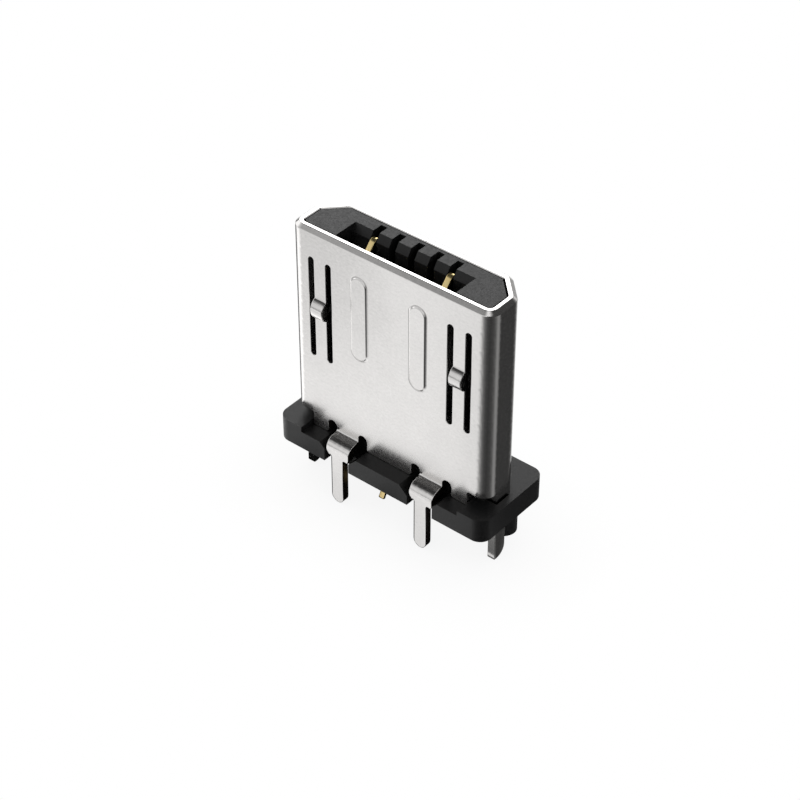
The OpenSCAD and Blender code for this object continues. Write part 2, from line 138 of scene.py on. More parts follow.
def spread(tree, value, seen, wanted, at):
    """A value carried from one range to another in a straight line, and held at the ends."""
    made = add(tree, "ShaderNodeMapRange", at)
    made.inputs["From Min"].default_value, made.inputs["From Max"].default_value = seen
    made.inputs["To Min"].default_value, made.inputs["To Max"].default_value = wanted
    tree.links.new(value, made.inputs["Value"])
    return made.outputs["Result"]


floor_paint = bpy.data.materials.new("white_floor")
tree = node_tree(floor_paint)
print("new paint:", floor_paint.name)

# %% How white the metal sees the floor
# The tone dips near the plug. This is painted shade: it stands for the plug's own shadow on the
# table, and only the metal sees it.
FLOOR_TONES = [
    (0.0, 0.86), (2.6, 0.87), (3.6, 0.93), (5.0, 1.0), (11.0, 0.84), (22.0, 0.6), (40.0, 0.5),
]


def tone_by_distance(tree, tones):
    """Tone by the distance from the middle: the length of the Object coordinate, as a share of
    the last distance, read from a curve through (distance in mm, tone)."""
    last = tones[-1][0]
    where = add(tree, "ShaderNodeTexCoord", (-600, -300))
    reach = add(tree, "ShaderNodeVectorMath", (-400, -300), operation="LENGTH")
    share = add(tree, "ShaderNodeMath", (-250, -300), operation="MULTIPLY")
    share.inputs[1].default_value = 1.0 / (last * MM)
    falloff = add(tree, "ShaderNodeFloatCurve", (-100, -300))
    curve = falloff.mapping.curves[0]
    for distance, tone in tones[1:-1]:
        curve.points.new(distance / last, tone)
    curve.points[0].location = (0.0, tones[0][1])
    curve.points[-1].location = (1.0, tones[-1][1])
    falloff.mapping.update()
    link(
        tree,
        (where.outputs["Object"], reach.inputs[0]),
        (reach.outputs["Value"], share.inputs[0]),
        (share.outputs[0], falloff.inputs["Value"]),
    )
    return falloff.outputs[0]


floor_tone = tone_by_distance(tree, FLOOR_TONES)
print("floor tones by distance:", FLOOR_TONES)

# %% What the floor gives to each ray
FLOOR_WHITE = (0.8, 0.8, 0.8, 1)
SHADOW_REACH, SHADOW_TONE, SHADOW_RAYS = 3.0, 0.88, 2

out = add(tree, "ShaderNodeOutputMaterial", (1200, 0))
path = add(tree, "ShaderNodeLightPath", (0, 300))
mirror_or_clear = add(tree, "ShaderNodeMath", (300, 300), operation="MAXIMUM")
paint = add(tree, "ShaderNodeBsdfDiffuse", (500, 100))
paint.inputs["Color"].default_value = FLOOR_WHITE
mirrored = add(tree, "ShaderNodeEmission", (500, -100))
seen = add(tree, "ShaderNodeEmission", (500, -500))
cover = add(tree, "ShaderNodeAmbientOcclusion", (0, -600), samples=SHADOW_RAYS)
cover.inputs["Distance"].default_value = SHADOW_REACH * MM
shadow = spread(tree, cover.outputs["AO"], (0.0, 1.0), (SHADOW_TONE, 1.0), (250, -600))
with_mirror = add(tree, "ShaderNodeMixShader", (750, 0))
with_camera = add(tree, "ShaderNodeMixShader", (1000, 0))
link(
    tree,
    (floor_tone, mirrored.inputs["Strength"]),
    (shadow, seen.inputs["Strength"]),
    (path.outputs["Is Glossy Ray"], mirror_or_clear.inputs[0]),
    (path.outputs["Is Transmission Ray"], mirror_or_clear.inputs[1]),
    (mirror_or_clear.outputs[0], with_mirror.inputs["Fac"]),
    (paint.outputs[0], with_mirror.inputs[1]),
    (mirrored.outputs[0], with_mirror.inputs[2]),
    (path.outputs["Is Camera Ray"], with_camera.inputs["Fac"]),
    (with_mirror.outputs[0], with_camera.inputs[1]),
    (seen.outputs[0], with_camera.inputs[2]),
    (with_camera.outputs[0], out.inputs["Surface"]),
)
print("floor paint nodes:", len(tree.nodes))

# %% Floor sheet
FLOOR_Z, FLOOR_HALF = cad_low[2] / MM, 400.0


def box_corners(x0, y0, x1, y1):
    """Four corners of an upright box in the plan, in turning order."""
    return np.array([(x0, y0), (x1, y0), (x1, y1), (x0, y1)])


def flat_sheet(name, corners, height, faces, material):
    """A mesh through points of the plan at one height, or at a height each, all in mm."""
    mesh = bpy.data.meshes.new(name)
    placed = np.column_stack((corners, np.broadcast_to(height, len(corners)))) * MM
    mesh.from_pydata(placed.tolist(), [], faces)
    mesh.materials.append(material)
    made = bpy.data.objects.new(name, mesh)
    scene.collection.objects.link(made)
    return made


floor_corners = box_corners(-FLOOR_HALF, -FLOOR_HALF, FLOOR_HALF, FLOOR_HALF)
floor = flat_sheet("floor", floor_corners, FLOOR_Z, [(0, 1, 2, 3)], floor_paint)
print(floor.name, "at", round(FLOOR_Z, 3), "mm")

# %% [markdown]
# ## Room
#
# Faces that lean up mirror the room, not the floor. The room is a plain dome,
# bright near the table and dark overhead, so the bevel along the rim comes out
# mid grey and the hooks get a dark crown. A ready-made sky would bring colour and
# a sun with it; a ramp over the height of the view says just what is wanted.

# %% Room
ROOM_TONES = [
    (0.0, 0.5), (0.06, 0.6), (0.2, 0.78), (0.45, 0.78), (0.6, 0.64), (0.66, 0.4),
    (0.70, 0.25), (0.74, 0.14), (0.79, 0.05), (0.84, 0.03), (1.0, 0.03),
]

world = bpy.data.worlds.new("studio_room")
scene.world = world
tree = node_tree(world)
aim = add(tree, "ShaderNodeTexCoord", (-400, 0))
split = add(tree, "ShaderNodeSeparateXYZ", (-200, 0))
by_height = add(tree, "ShaderNodeValToRGB", (0, 0))
room = add(tree, "ShaderNodeBackground", (400, 100))
backdrop = add(tree, "ShaderNodeBackground", (400, -100))
backdrop.inputs["Color"].default_value = (1, 1, 1, 1)
path = add(tree, "ShaderNodeLightPath", (300, 300))
mix = add(tree, "ShaderNodeMixShader", (650, 0))
out = add(tree, "ShaderNodeOutputWorld", (900, 0))
ramp = by_height.color_ramp
ramp.elements.remove(ramp.elements[-1])
ramp.elements[0].position = ROOM_TONES[0][0]
ramp.elements[0].color = (*[ROOM_TONES[0][1]] * 3, 1)
for height, tone in ROOM_TONES[1:]:
    ramp.elements.new(height).color = (tone, tone, tone, 1)
link(
    tree,
    (aim.outputs["Generated"], split.inputs[0]),
    (split.outputs["Z"], by_height.inputs["Fac"]),
    (by_height.outputs["Color"], room.inputs["Color"]),
    (path.outputs["Is Camera Ray"], mix.inputs["Fac"]),
    (room.outputs[0], mix.inputs[1]),
    (backdrop.outputs[0], mix.inputs[2]),
    (mix.outputs[0], out.inputs["Surface"]),
)
print("room tones:", len(ramp.elements))

# %% [markdown]
# ## Lamp
#
# One broad soft light stands behind the plug on the left. The flat tops of rim and
# moulding mirror it, so the rim turns white and the black plastic grey. A small
# lamp would leave a hard spot on each; a broad one gives one even sheen.

# %% Soft light
LAMP_AT, LAMP_TO, LAMP_SIZE, LAMP_BRIGHT = (-64, 76, 66), (0, 0, 3), 60, 2.6

lamp = bpy.data.lights.new("back_soft_light", "AREA")
lamp.shape = "SQUARE"
lamp.size = LAMP_SIZE * MM
lamp.energy = LAMP_BRIGHT * lamp.size**2 * math.pi
back_light = bpy.data.objects.new("back_soft_light", lamp)
scene.collection.objects.link(back_light)
back_light.matrix_world = looking(np.array(LAMP_AT) * MM, np.array(LAMP_TO) * MM)
print("lamp power in watts:", round(lamp.energy, 4))

# %% [markdown]
# ## Cards
#
# On a white table a folded metal corner would look flat. A product set has dark
# and graded cards beside the part, which only show in the metal: they draw the
# dark band down the corner bend and the grey of the side wall. Each card here is
# a thin flat sheet just over the floor, unseen by the camera and by diffuse
# light. Four more stand up, for the bevel round the rim's corners, which looks up
# past the floor: two of them close to the right corner, so that they show in
# little else. Painting the bands on the metal would be wrong from every other
# side.

# %% Card paper
CARD_LIFT, TOP_LIFT, OVER_LIFT, GLINT_LIFT = 0.005, 0.01, 0.012, 0.016

card_paper = bpy.data.materials.new("graded_card")
tree = node_tree(card_paper)
tone = add(tree, "ShaderNodeAttribute", (0, 0), attribute_name="tone")
glow = add(tree, "ShaderNodeEmission", (300, 0))
out = add(tree, "ShaderNodeOutputMaterial", (600, 0))
link(
    tree,
    (tone.outputs["Fac"], glow.inputs["Strength"]),
    (glow.outputs[0], out.inputs["Surface"]),
)


def lay_card(name, corners, faces, tones, lift):
    """A card over the floor that only shiny pieces see; its tone is kept point by point."""
    made = flat_sheet(name, corners, FLOOR_Z + lift, faces, card_paper)
    shade = made.data.attributes.new("tone", "FLOAT", "POINT")
    shade.data.foreach_set("value", np.asarray(tones, np.float32))
    made.visible_camera = made.visible_diffuse = made.visible_shadow = False
    return made


print("card paper:", card_paper.name)

# %% Graded fans beside the front corners
RIGHT_CORNER, RIGHT_REACH = np.array((3.3, -0.5)), 40.0
RIGHT_TONES = [
    (-140, 1.0), (-118, 0.8), (-105, 0.40), (-88, 0.16), (-70, 0.07), (-45, 0.04), (-20, 0.06),
    (0, 0.12), (18, 0.26), (30, 0.27), (40, 0.14), (46, 0.036), (58, 0.038), (75, 0.12),
    (95, 0.5), (115, 1.0),
]
LEFT_CORNER, LEFT_REACH = np.array((-3.3, -0.5)), 13.5
LEFT_TONES = [
    (112, 0.5), (124, 0.02), (166, 0.02), (178, 0.5), (190, 1.3), (205, 1.45), (216, 1.25),
    (226, 1.0),
]
CORNER_NEAR, FAN_STEPS = 0.05, 128


def graded_ring(tones):
    """Directions in the plan from the first heading to the last, in degrees: cosine and sine of
    each. With them come the quads between two rows of points in those directions, and a tone for
    both rows that runs straight between the headings given."""
    heading, tone_at = np.array(tones, float).T
    degrees = np.linspace(heading[0], heading[-1], FAN_STEPS + 1)
    ring = np.column_stack((np.cos(np.radians(degrees)), np.sin(np.radians(degrees))))
    near = np.arange(FAN_STEPS)
    far = near + FAN_STEPS + 1
    quads = np.column_stack((near, far, far + 1, near + 1)).tolist()
    return ring, quads, np.tile(np.interp(degrees, heading, tone_at), 2)


def fan_card(name, middle, tones, near, far):
    """A piece of a ring around an upright corner: points at two distances in each heading."""
    ring, quads, tone = graded_ring(tones)
    corners = np.vstack((middle + near * ring, middle + far * ring))
    return lay_card(name, corners, quads, tone, CARD_LIFT)


fans = [
    fan_card("right_card", RIGHT_CORNER, RIGHT_TONES, CORNER_NEAR, RIGHT_REACH),
    fan_card("left_card", LEFT_CORNER, LEFT_TONES, CORNER_NEAR, LEFT_REACH),
]
print("graded fans:", [fan.name for fan in fans])

# %% Standing cards for the rim's corners
PLUG_MIDDLE, RIM_CORNER = np.zeros(3), np.array((3.3, -0.6, 7.2))
FLAG_TONES = [(-72, 0.05), (60, 0.05), (68, 0.22), (76, 0.4)]
GLOW_TONES = [
    (-127, 0.36), (-118, 0.24), (-105, 0.25), (-95, 0.46), (-86, 0.75), (-76, 1.0), (-58, 1.0),
    (-47, 0.72), (-37, 0.42), (-28, 0.22), (-18, 0.08),
]
STANDING = [
    ("right_flag", RIM_CORNER, FLAG_TONES, (-9, 56), 5.0),
    ("front_glow", RIM_CORNER, GLOW_TONES, (38, 62), 4.5),
    ("left_flag", PLUG_MIDDLE, [(130, 0.06), (164, 0.06)], (-1, 10), 60.0),
    ("left_glow", PLUG_MIDDLE, [(168, 1.25), (208, 1.25)], (3, 34), 60.0),
]


def standing_card(name, middle, tones, elevations, reach):
    """A piece of a sphere around a point, between two elevations in degrees: in each heading the
    cosine of the elevation leads out and its sine up."""
    ring, quads, tone = graded_ring(tones)
    level, up = (reach * part(np.radians(elevations)) for part in (np.cos, np.sin))
    corners = middle[:2] + np.vstack((level[0] * ring, level[1] * ring))
    lift = middle[2] + np.repeat(up, FAN_STEPS + 1) - FLOOR_Z
    return lay_card(name, corners, quads, tone, lift)


stands = [standing_card(*row) for row in STANDING]
print("standing cards:", [stand.name for stand in stands])

# %% Cards under the plug and at the legs' tips, with painted shadow under the base and before the front tips
UNDER_SHADOW_TONE, CORNER_TONE, SIDE_TIP_TONE, GLINT_TONE, TIP_SHADOW_TONE = 0.004, 0.16, 0.15, 0.8, 0.05
UNDER_SHADOW_PLAN = np.array(
    [(-3.75, -1.36), (2.6, -1.36), (2.6, -0.46), (3.43, -0.46), (3.43, 1.5), (-3.75, 1.5)]
)
CORNER_PLAN = box_corners(2.6, -1.36, 3.2, -0.46)
SIDE_TIP_PLAN = box_corners(3.0, -0.85, 3.43, -0.46)
GLINT_PLAN = box_corners(3.0, -0.62, 3.43, -0.54)
LEG_X, PIN_LEFT, PIN_FRONT, PIN_REACH = 1.5, 0.26, -1.37, 2.4
TIP_CARD_HALF, TIP_CARD_DEEP = 0.25, 0.05
LEG_TONES = [(125, 0.01), (209, 0.01), (217, 0.5), (225, 0.92)]


def patch_card(name, corners, tone, lift):
    """A card of one tone through the corners of its plan."""
    faces = [tuple(range(len(corners)))]
    return lay_card(name, corners, faces, np.full(len(corners), tone), lift)


# The black card under the plug is painted shadow: it stands for the plug's shade on the table,
# which the metal mirrors.
cards = [
    patch_card("under_shadow_card", UNDER_SHADOW_PLAN, UNDER_SHADOW_TONE, TOP_LIFT),
    patch_card("under_corner_card", CORNER_PLAN, CORNER_TONE, TOP_LIFT),
    patch_card("side_leg_tip_shadow_card", SIDE_TIP_PLAN, SIDE_TIP_TONE, OVER_LIFT),
    patch_card("side_leg_glint_card", GLINT_PLAN, GLINT_TONE, GLINT_LIFT),
]
for name, x in (("left_leg", -LEG_X), ("right_leg", LEG_X)):
    pin_corner = np.array((x - PIN_LEFT, PIN_FRONT))
    cards.append(fan_card(name + "_card", pin_corner, LEG_TONES, CARD_LIFT, PIN_REACH))
    # A thin dark card just before each front leg's tip is painted contact shadow.
    tip = box_corners(x - TIP_CARD_HALF, PIN_FRONT - TIP_CARD_DEEP, x + TIP_CARD_HALF, PIN_FRONT)
    cards.append(patch_card(name + "_tip_shadow_card", tip, TIP_SHADOW_TONE, OVER_LIFT))
print("cards:", [card.name for card in cards])

# %% [markdown]
# ## A finish with a grain
#
# No plated or moulded face is quite even: its colour, gloss and height all wander
# a little, and together. So one fine noise drives all three here, and a broad one
# clouds the colour. A picture of a scratched sheet could be laid on instead, but it
# would repeat, and it would have one size only.

# %% Noise by cells
NOISE_DETAIL = 3.0


def cell_noise(tree, where, cells, at, detail=NOISE_DETAIL):
    """A noise of so many cells per unit along each direction of a coordinate, from 0 to 1."""
    stretch = add(tree, "ShaderNodeMapping", at)
    stretch.inputs["Scale"].default_value = cells
    noise = add(tree, "ShaderNodeTexNoise", (at[0] + 200, at[1]))
    noise.inputs["Scale"].default_value = 1.0
    noise.inputs["Detail"].default_value = detail
    link(
        tree,
        (where, stretch.inputs["Vector"]),
        (stretch.outputs["Vector"], noise.inputs["Vector"]),
    )
    return noise.outputs["Fac"]


print("detail of the grain:", NOISE_DETAIL)

# %% A grained finish
CLOUD_CELLS, CLOUD_SHARE = (1.5, 1.5, 1.5), 0.5
CLOUD_RANGE, FINE_RANGE = (0.45, 1.05), (0.3, 0.7)


def grained(name, colour, metallic, roughness, cells, tint, gloss, lift, uv=""):
    """A finish with a fine grain: one noise, of so many cells per mm, makes the colour lighter
    and darker by a share, the gloss rougher and smoother, and lifts the face by a height in mm.
    A second, broad noise adds half as much to the colour."""
    material = bpy.data.materials.new(name)
    tree = node_tree(material)
    out = add(tree, "ShaderNodeOutputMaterial", (900, 0))
    shader = add(tree, "ShaderNodeBsdfPrincipled", (600, 0))
    shader.inputs["Metallic"].default_value = metallic
    if uv:
        where, size = add(tree, "ShaderNodeUVMap", (-900, 0), uv_map=uv).outputs["UV"], 1.0
    else:
        where, size = add(tree, "ShaderNodeTexCoord", (-900, 0)).outputs["Object"], 1.0 / MM
    fine = cell_noise(tree, where, [size * c for c in cells], (-650, 100))
    cloud = cell_noise(tree, where, [size * c for c in CLOUD_CELLS], (-650, -200))
    both = add(tree, "ShaderNodeMath", (-200, 0), operation="MULTIPLY_ADD")
    both.inputs[1].default_value = CLOUD_SHARE
    paint = add(tree, "ShaderNodeVectorMath", (250, 200), operation="SCALE")
    paint.inputs[0].default_value = colour
    bump = add(tree, "ShaderNodeBump", (250, -250))
    bump.inputs["Strength"].default_value = 1.0
    bump.inputs["Distance"].default_value = lift * MM
    shade = spread(tree, both.outputs[0], CLOUD_RANGE, (1 - tint, 1 + tint), (0, 200))
    rough = spread(tree, fine, FINE_RANGE, (roughness - gloss, roughness + gloss), (0, -50))
    link(
        tree,
        (cloud, both.inputs[0]),
        (fine, both.inputs[2]),
        (shade, paint.inputs["Scale"]),
        (paint.outputs["Vector"], shader.inputs["Base Color"]),
        (rough, shader.inputs["Roughness"]),
        (fine, bump.inputs["Height"]),
        (bump.outputs["Normal"], shader.inputs["Normal"]),
        (shader.outputs[0], out.inputs["Surface"]),
    )
    return material


def part_of(material, kind="Principled BSDF"):
    """A node of a finish, by the name Blender gives its kind."""
    return material.node_tree.nodes[kind]


print("cloud cells per mm:", CLOUD_CELLS)

# %% [markdown]
# ## Satin nickel
#
# The shell is steel sheet with a thin warm-white nickel plate: a mirror that is
# slightly blurred and slightly mottled. The grain follows the sheet, so it runs
# round every bend; that needs the sheet's own two directions, which the shell
# keeps as a UV map in mm. Object coordinates would cut straight through the bends.

# %% Plate
NICKEL, NICKEL_ROUGH, NICKEL_CELLS = (0.78, 0.767, 0.755), 0.17, (9, 14, 1)

nickel = grained(
    "satin_nickel", NICKEL, 1.0, NICKEL_ROUGH, NICKEL_CELLS,
    tint=0.06, gloss=0.03, lift=0.0001, uv="sheet",
)
tree, shader = nickel.node_tree, part_of(nickel)
print("nickel:", NICKEL, "roughness", NICKEL_ROUGH)

# %% [markdown]
# ### What the tools leave on the plate, and painted shade on the cut edges
#
# Forming dies draw fine lines across the legs' bends and the hooks; a long noise,
# lifted a little, gives them. The punch tears the cut edges of the legs open, so
# those are rougher than the plate; low on the front legs they are also painted
# dark, as painted shade. And the foot of the front wall, hot from soldering, is
# duller than the rest, so the plastic before it mirrors as a soft haze. Each mark
# is a number kept on the sheet's points, from 0 to 1.

# %% Lines drawn on the bends
STREAK_CELLS, STREAK_DETAIL, STREAK_DEEP = (2.5, 50.0, 1.0), 2.0, 0.0022

sheet_uv = add(tree, "ShaderNodeUVMap", (-900, -500), uv_map="sheet")
streaks = cell_noise(tree, sheet_uv.outputs["UV"], STREAK_CELLS, (-650, -500), STREAK_DETAIL)
bent = add(tree, "ShaderNodeAttribute", (-450, -750), attribute_name="worked")
drawn = add(tree, "ShaderNodeMath", (0, -500), operation="MULTIPLY")
lines = add(tree, "ShaderNodeBump", (400, -450))
lines.inputs["Distance"].default_value = STREAK_DEEP * MM
link(
    tree,
    (streaks, drawn.inputs[0]),
    (bent.outputs["Fac"], drawn.inputs[1]),
    (drawn.outputs[0], lines.inputs["Height"]),
    (part_of(nickel, "Bump").outputs["Normal"], lines.inputs["Normal"]),
    (lines.outputs["Normal"], shader.inputs["Normal"]),
)
print("drawn lines in mm:", STREAK_DEEP)

# %% Painted shade and a rougher tear on the cut edges, and the dull foot
CUT_EDGE_SHADE, RAW_ROUGHER, FOOT_ROUGHER = (0.16, 0.14, 0.12, 1), 0.15, 0.11


def rougher(tree, plain, mark, amount, at):
    """Roughness plus an amount where a mark is 1: mark times amount, plus the plain value."""
    made = add(tree, "ShaderNodeMath", at, operation="MULTIPLY_ADD")
    made.inputs[1].default_value = amount
    link(tree, (mark, made.inputs[0]), (plain, made.inputs[2]))
    return made.outputs[0]


torn_shade = add(tree, "ShaderNodeAttribute", (300, 500), attribute_name="torn_and_shaded").outputs["Fac"]
dull = add(tree, "ShaderNodeAttribute", (300, -100), attribute_name="dulled").outputs["Fac"]
plate_colour = shader.inputs["Base Color"].links[0].from_socket
plate_rough = shader.inputs["Roughness"].links[0].from_socket
# The dark edge colour is painted shade on the front legs' low cut edges; only their rougher tear
# is real.
edge_shade_mix = add(tree, "ShaderNodeMix", (500, 400), data_type="RGBA")
edge_shade_mix.inputs["B"].default_value = CUT_EDGE_SHADE
torn_rough = rougher(tree, plate_rough, torn_shade, RAW_ROUGHER, (500, 150))
foot_rough = rougher(tree, torn_rough, dull, FOOT_ROUGHER, (550, -50))
link(
    tree,
    (torn_shade, edge_shade_mix.inputs["Factor"]),
    (plate_colour, edge_shade_mix.inputs["A"]),
    (edge_shade_mix.outputs["Result"], shader.inputs["Base Color"]),
    (foot_rough, shader.inputs["Roughness"]),
)
print("nickel nodes:", len(tree.nodes))

# %% [markdown]
# ## Black moulding and gold plate
#
# The moulding is a filled, heat-proof plastic: nearly black, with a fine eroded
# skin that spreads the light over it into a grey sheen. The contacts have a thin
# gold plate, a little mottled by the rolled strip below. Both lie still in Object
# coordinates, because neither grain follows a bend that can be seen.

# %% Moulding and gold
MOULDING, MOULDING_ROUGH, MOULDING_CELLS = (0.0105, 0.0105, 0.0108), 0.45, (16, 16, 16)
MOULDING_SPECULAR = 0.385
GOLD, GOLD_ROUGH, GOLD_CELLS = (1.0, 0.78, 0.37), 0.2, (14, 14, 14)

moulding = grained(
    "black_moulding", MOULDING, 0.0, MOULDING_ROUGH, MOULDING_CELLS,
    tint=0.5, gloss=0.06, lift=0.001,
)
part_of(moulding).inputs["Specular IOR Level"].default_value = MOULDING_SPECULAR
gold = grained(
    "gold_plate", GOLD, 1.0, GOLD_ROUGH, GOLD_CELLS,
    tint=0.12, gloss=0.06, lift=0.001,
)
print("finishes:", nickel.name, moulding.name, gold.name)

# %% [markdown]
# ## The shell as a flat pattern
#
# On the real plug the shell is punched from sheet steel and then folded, so it is
# made the same way here: an outline and its slots are drawn flat, filled with
# triangles, and each point is then carried through the folds. Carving it from a
# solid would leave hard, faceted bends; the folded sheet keeps every bend smooth,
# and the sheet's own two directions stay known for the grain of the metal.

# %% Sizes of the sheet, in mm
SHEET = 0.25
SHELL_W, SHELL_D, SHELL_TOP = 6.85, 1.8, 7.25
FRONT_R, BACK_R, BACK_SLANT = 0.13 + SHEET / 2, 0.1 + SHEET / 2, 0.72
BASE_H, STEP_H = 0.75, 0.59
WALL_Y = -SHELL_D / 2 + SHEET / 2
SLANT_TANGENT = (BACK_R + SHEET / 2) * math.tan(math.radians(22.5))
FRONT_RUN = SHELL_W / 2 - FRONT_R - SHEET / 2
SIDE_RUN = SHELL_D - BACK_SLANT - SLANT_TANGENT - FRONT_R - SHEET / 2
SLANT_RUN = BACK_SLANT * math.sqrt(2) - 2 * SLANT_TANGENT
BACK_RUN = SHELL_W / 2 - BACK_SLANT - SLANT_TANGENT
print("half walls in mm:", np.round((FRONT_RUN, SIDE_RUN, SLANT_RUN, BACK_RUN), 3).tolist())

# %% [markdown]
# ## Folding
#
# A folded sheet keeps its length along the middle layer, so a fold is a line made
# of runs: straight ones, and arcs that turn evenly. Knowing the place and the
# heading at any length along that line is enough to put every point of the flat
# pattern where it ends up. Bending a ready mesh with modifiers would need one for
# each bend, and each would stretch the sheet a little.

# %% A line with bends
NO_TURN = 1e-9


def bent_path(runs, start, heading):
    """Place and heading along a line of runs: each run is (length, turn in radians), and a turn
    spreads evenly over its run. Returns a function of the length along the line."""
    lengths = np.array([run[0] for run in runs])
    bend = np.array([run[1] / run[0] for run in runs])
    begin = np.concatenate(([0.0], np.cumsum(lengths)[:-1]))
    way = heading + np.concatenate(([0.0], np.cumsum(bend * lengths)[:-1]))
    straight = np.abs(bend) < NO_TURN
    radius = np.where(straight, 0.0, 1.0 / np.where(straight, 1.0, bend))

    def moved(k, along):
        """Where a run's length along leads: a straight step, or the chord of its arc."""
        turned = way[k] + bend[k] * along
        chord = (np.sin(turned) - np.sin(way[k]), np.cos(way[k]) - np.cos(turned))
        arc = radius[k, None] * np.column_stack(chord)
        step = along[:, None] * np.column_stack((np.cos(way[k]), np.sin(way[k])))
        return np.where(straight[k, None], step, arc), turned

    whole, _ = moved(np.arange(len(runs)), lengths)
    corner = np.array(start) + np.vstack((np.zeros((1, 2)), np.cumsum(whole, axis=0)[:-1]))

    def at(length):
        """Place and heading at each length along the line."""
        k = np.clip(np.searchsorted(begin, length, side="right") - 1, 0, len(runs) - 1)
        step, turned = moved(k, length - begin[k])
        return corner[k] + step, turned

    return at, float(lengths.sum())


quarter, quarter_length = bent_path([(math.pi / 2, math.pi / 2)], (0.0, 0.0), 0.0)
quarter_end, _ = quarter(np.array([quarter_length]))
print("a quarter turn of radius 1 ends at", quarter_end.round(3).tolist())

# %% The line around the tube
FRONT_BEND, BACK_BEND = FRONT_R * math.pi / 2, BACK_R * math.pi / 4
around, HALF_ROUND = bent_path(
    [
        (FRONT_RUN, 0.0),
        (FRONT_BEND, math.pi / 2),
        (SIDE_RUN, 0.0),
        (BACK_BEND, math.pi / 4),
        (SLANT_RUN, 0.0),
        (BACK_BEND, math.pi / 4),
        (BACK_RUN, 0.0),
    ],
    (0.0, WALL_Y),
    0.0,
)
CORNER_FROM, CORNER_TO = FRONT_RUN, FRONT_RUN + FRONT_BEND
SLANT_FROM = CORNER_TO + SIDE_RUN
SLANT_TO = SLANT_FROM + 2 * BACK_BEND + SLANT_RUN
print("half way round the sheet in mm:", round(HALF_ROUND, 3))

# %% The front legs' S
LEG_W, PIN_W = 0.8, 0.46
LEG_BEND_Z, LEG_OUT, LEG_FOLD, LEG_R = 0.86, 0.47, math.radians(78), 0.06 + SHEET / 2
LEG_REACH, SHOULDER_Z, PIN_RUN = 1.35, 0.26, 3.0
LEG_SLOPE = (LEG_OUT - 2 * LEG_R * (1 - math.cos(LEG_FOLD))) / math.sin(LEG_FOLD)
LEG_DROP = 2 * LEG_R * math.sin(LEG_FOLD) + LEG_SLOPE * math.cos(LEG_FOLD)
LEG_S = 2 * LEG_R * LEG_FOLD + LEG_SLOPE
down_leg, _ = bent_path(
    [
        (LEG_R * LEG_FOLD, LEG_FOLD),
        (LEG_SLOPE, 0.0),
        (LEG_R * LEG_FOLD, -LEG_FOLD),
        (PIN_RUN, 0.0),
    ],
    (0.0, 0.0),
    0.0,
)


def leg_flat(z):
    """Height in the flat pattern of a point under the S: the S is longer than its drop."""
    return z - (LEG_S - LEG_DROP)


print("the S takes", round(LEG_S, 3), "mm of sheet for a drop of", round(LEG_DROP, 3))

# %% [markdown]
# ## Hooks and ribs
#
# Between each pair of slots a strip carries a hook, pressed out of the sheet, that
# snaps into the socket. Two long ribs stiffen the wall; around them the press left
# a shallow coined line, which is all that shows of them. Both are a rise of the
# face over the plain sheet, so they are functions of the flat place alone, and the
# fold carries them with it. Separate bumps laid on the wall would show a joint.

# %% Hooks
LATCH_X, LATCH_W, LATCH_SLOT = 2.39, 0.41, 0.19
LATCH_TOP, LATCH_LEN = SHELL_TOP - 0.87, 3.29
HOOK_Z, HOOK_R, HOOK_LEAD, HOOK_RUNOUT, HOOK_HOLLOW = SHELL_TOP - 2.455, 0.205, 0.285, 0.345, 0.12
LEAD_POWER, RUNOUT_POWER = 0.78, 0.62


def hook_rise(q):
    """Rise of a hook over the wall at a height q over its crest: one minus the square of the
    share of the reach, raised to a power under one, so that each side ends steeper than a
    parabola."""
    reach = np.where(q > 0, HOOK_LEAD, HOOK_RUNOUT)
    power = np.where(q > 0, LEAD_POWER, RUNOUT_POWER)
    return HOOK_R * np.clip(1.0 - (q / reach) ** 2, 0.0, None) ** power


print("hook from", round(HOOK_Z - HOOK_RUNOUT, 3), "to", round(HOOK_Z + HOOK_LEAD, 3), "mm up")

# %% Ribs
RIB_X, RIB_W, RIB_LEN, RIB_RISE, RIB_FLANK = 1.01, 0.57, 2.75, 0.036, 0.055
RIB_Z = SHELL_TOP - 0.8 - RIB_LEN / 2
COIN_W, COIN_DEEP = 0.04, 0.008


def smooth(share):
    """0 to 1 with soft ends: 3 t^2 - 2 t^3."""
    t = np.clip(share, 0.0, 1.0)
    return t * t * (3.0 - 2.0 * t)


def rib_inset(a, h):
    """Distance of a point inside the upright obround of a rib's root, negative outside it."""
    reach = np.abs(h - RIB_Z) - (RIB_LEN - RIB_W) / 2
    return RIB_W / 2 - np.hypot(np.abs(a) - RIB_X, np.clip(reach, 0.0, None))


def rib_rise(a, h, narrower):
    """Rise of a rib: a soft flank inside its root and a shallow coined line around it."""
    inset = rib_inset(a, h) - narrower
    coined = np.clip(1 - np.abs(inset + COIN_W / 2) / (COIN_W / 2), 0.0, None)
    return RIB_RISE * smooth(inset / RIB_FLANK) - COIN_DEEP * smooth(coined)


crest = rib_rise(np.array([RIB_X]), np.array([RIB_Z]), 0.0)
print("rib crest over the wall in mm:", crest.tolist())

# %% From the flat sheet to the folded one
NEAR = 0.01


def pressed(a, h):
    """Rise of the outside and the inside face over the plain sheet, from hooks and ribs."""
    strip = np.abs(np.abs(a) - LATCH_X) < LATCH_W / 2 + 3 * NEAR
    q = h - HOOK_Z
    hook = np.where(strip, hook_rise(q), 0.0)
    hollow = np.where(strip, np.sqrt(np.clip(HOOK_HOLLOW**2 - q**2, 0.0, None)), 0.0)
    return hook + rib_rise(a, h, 0.0), hollow + rib_rise(a, h, SHEET / 2)


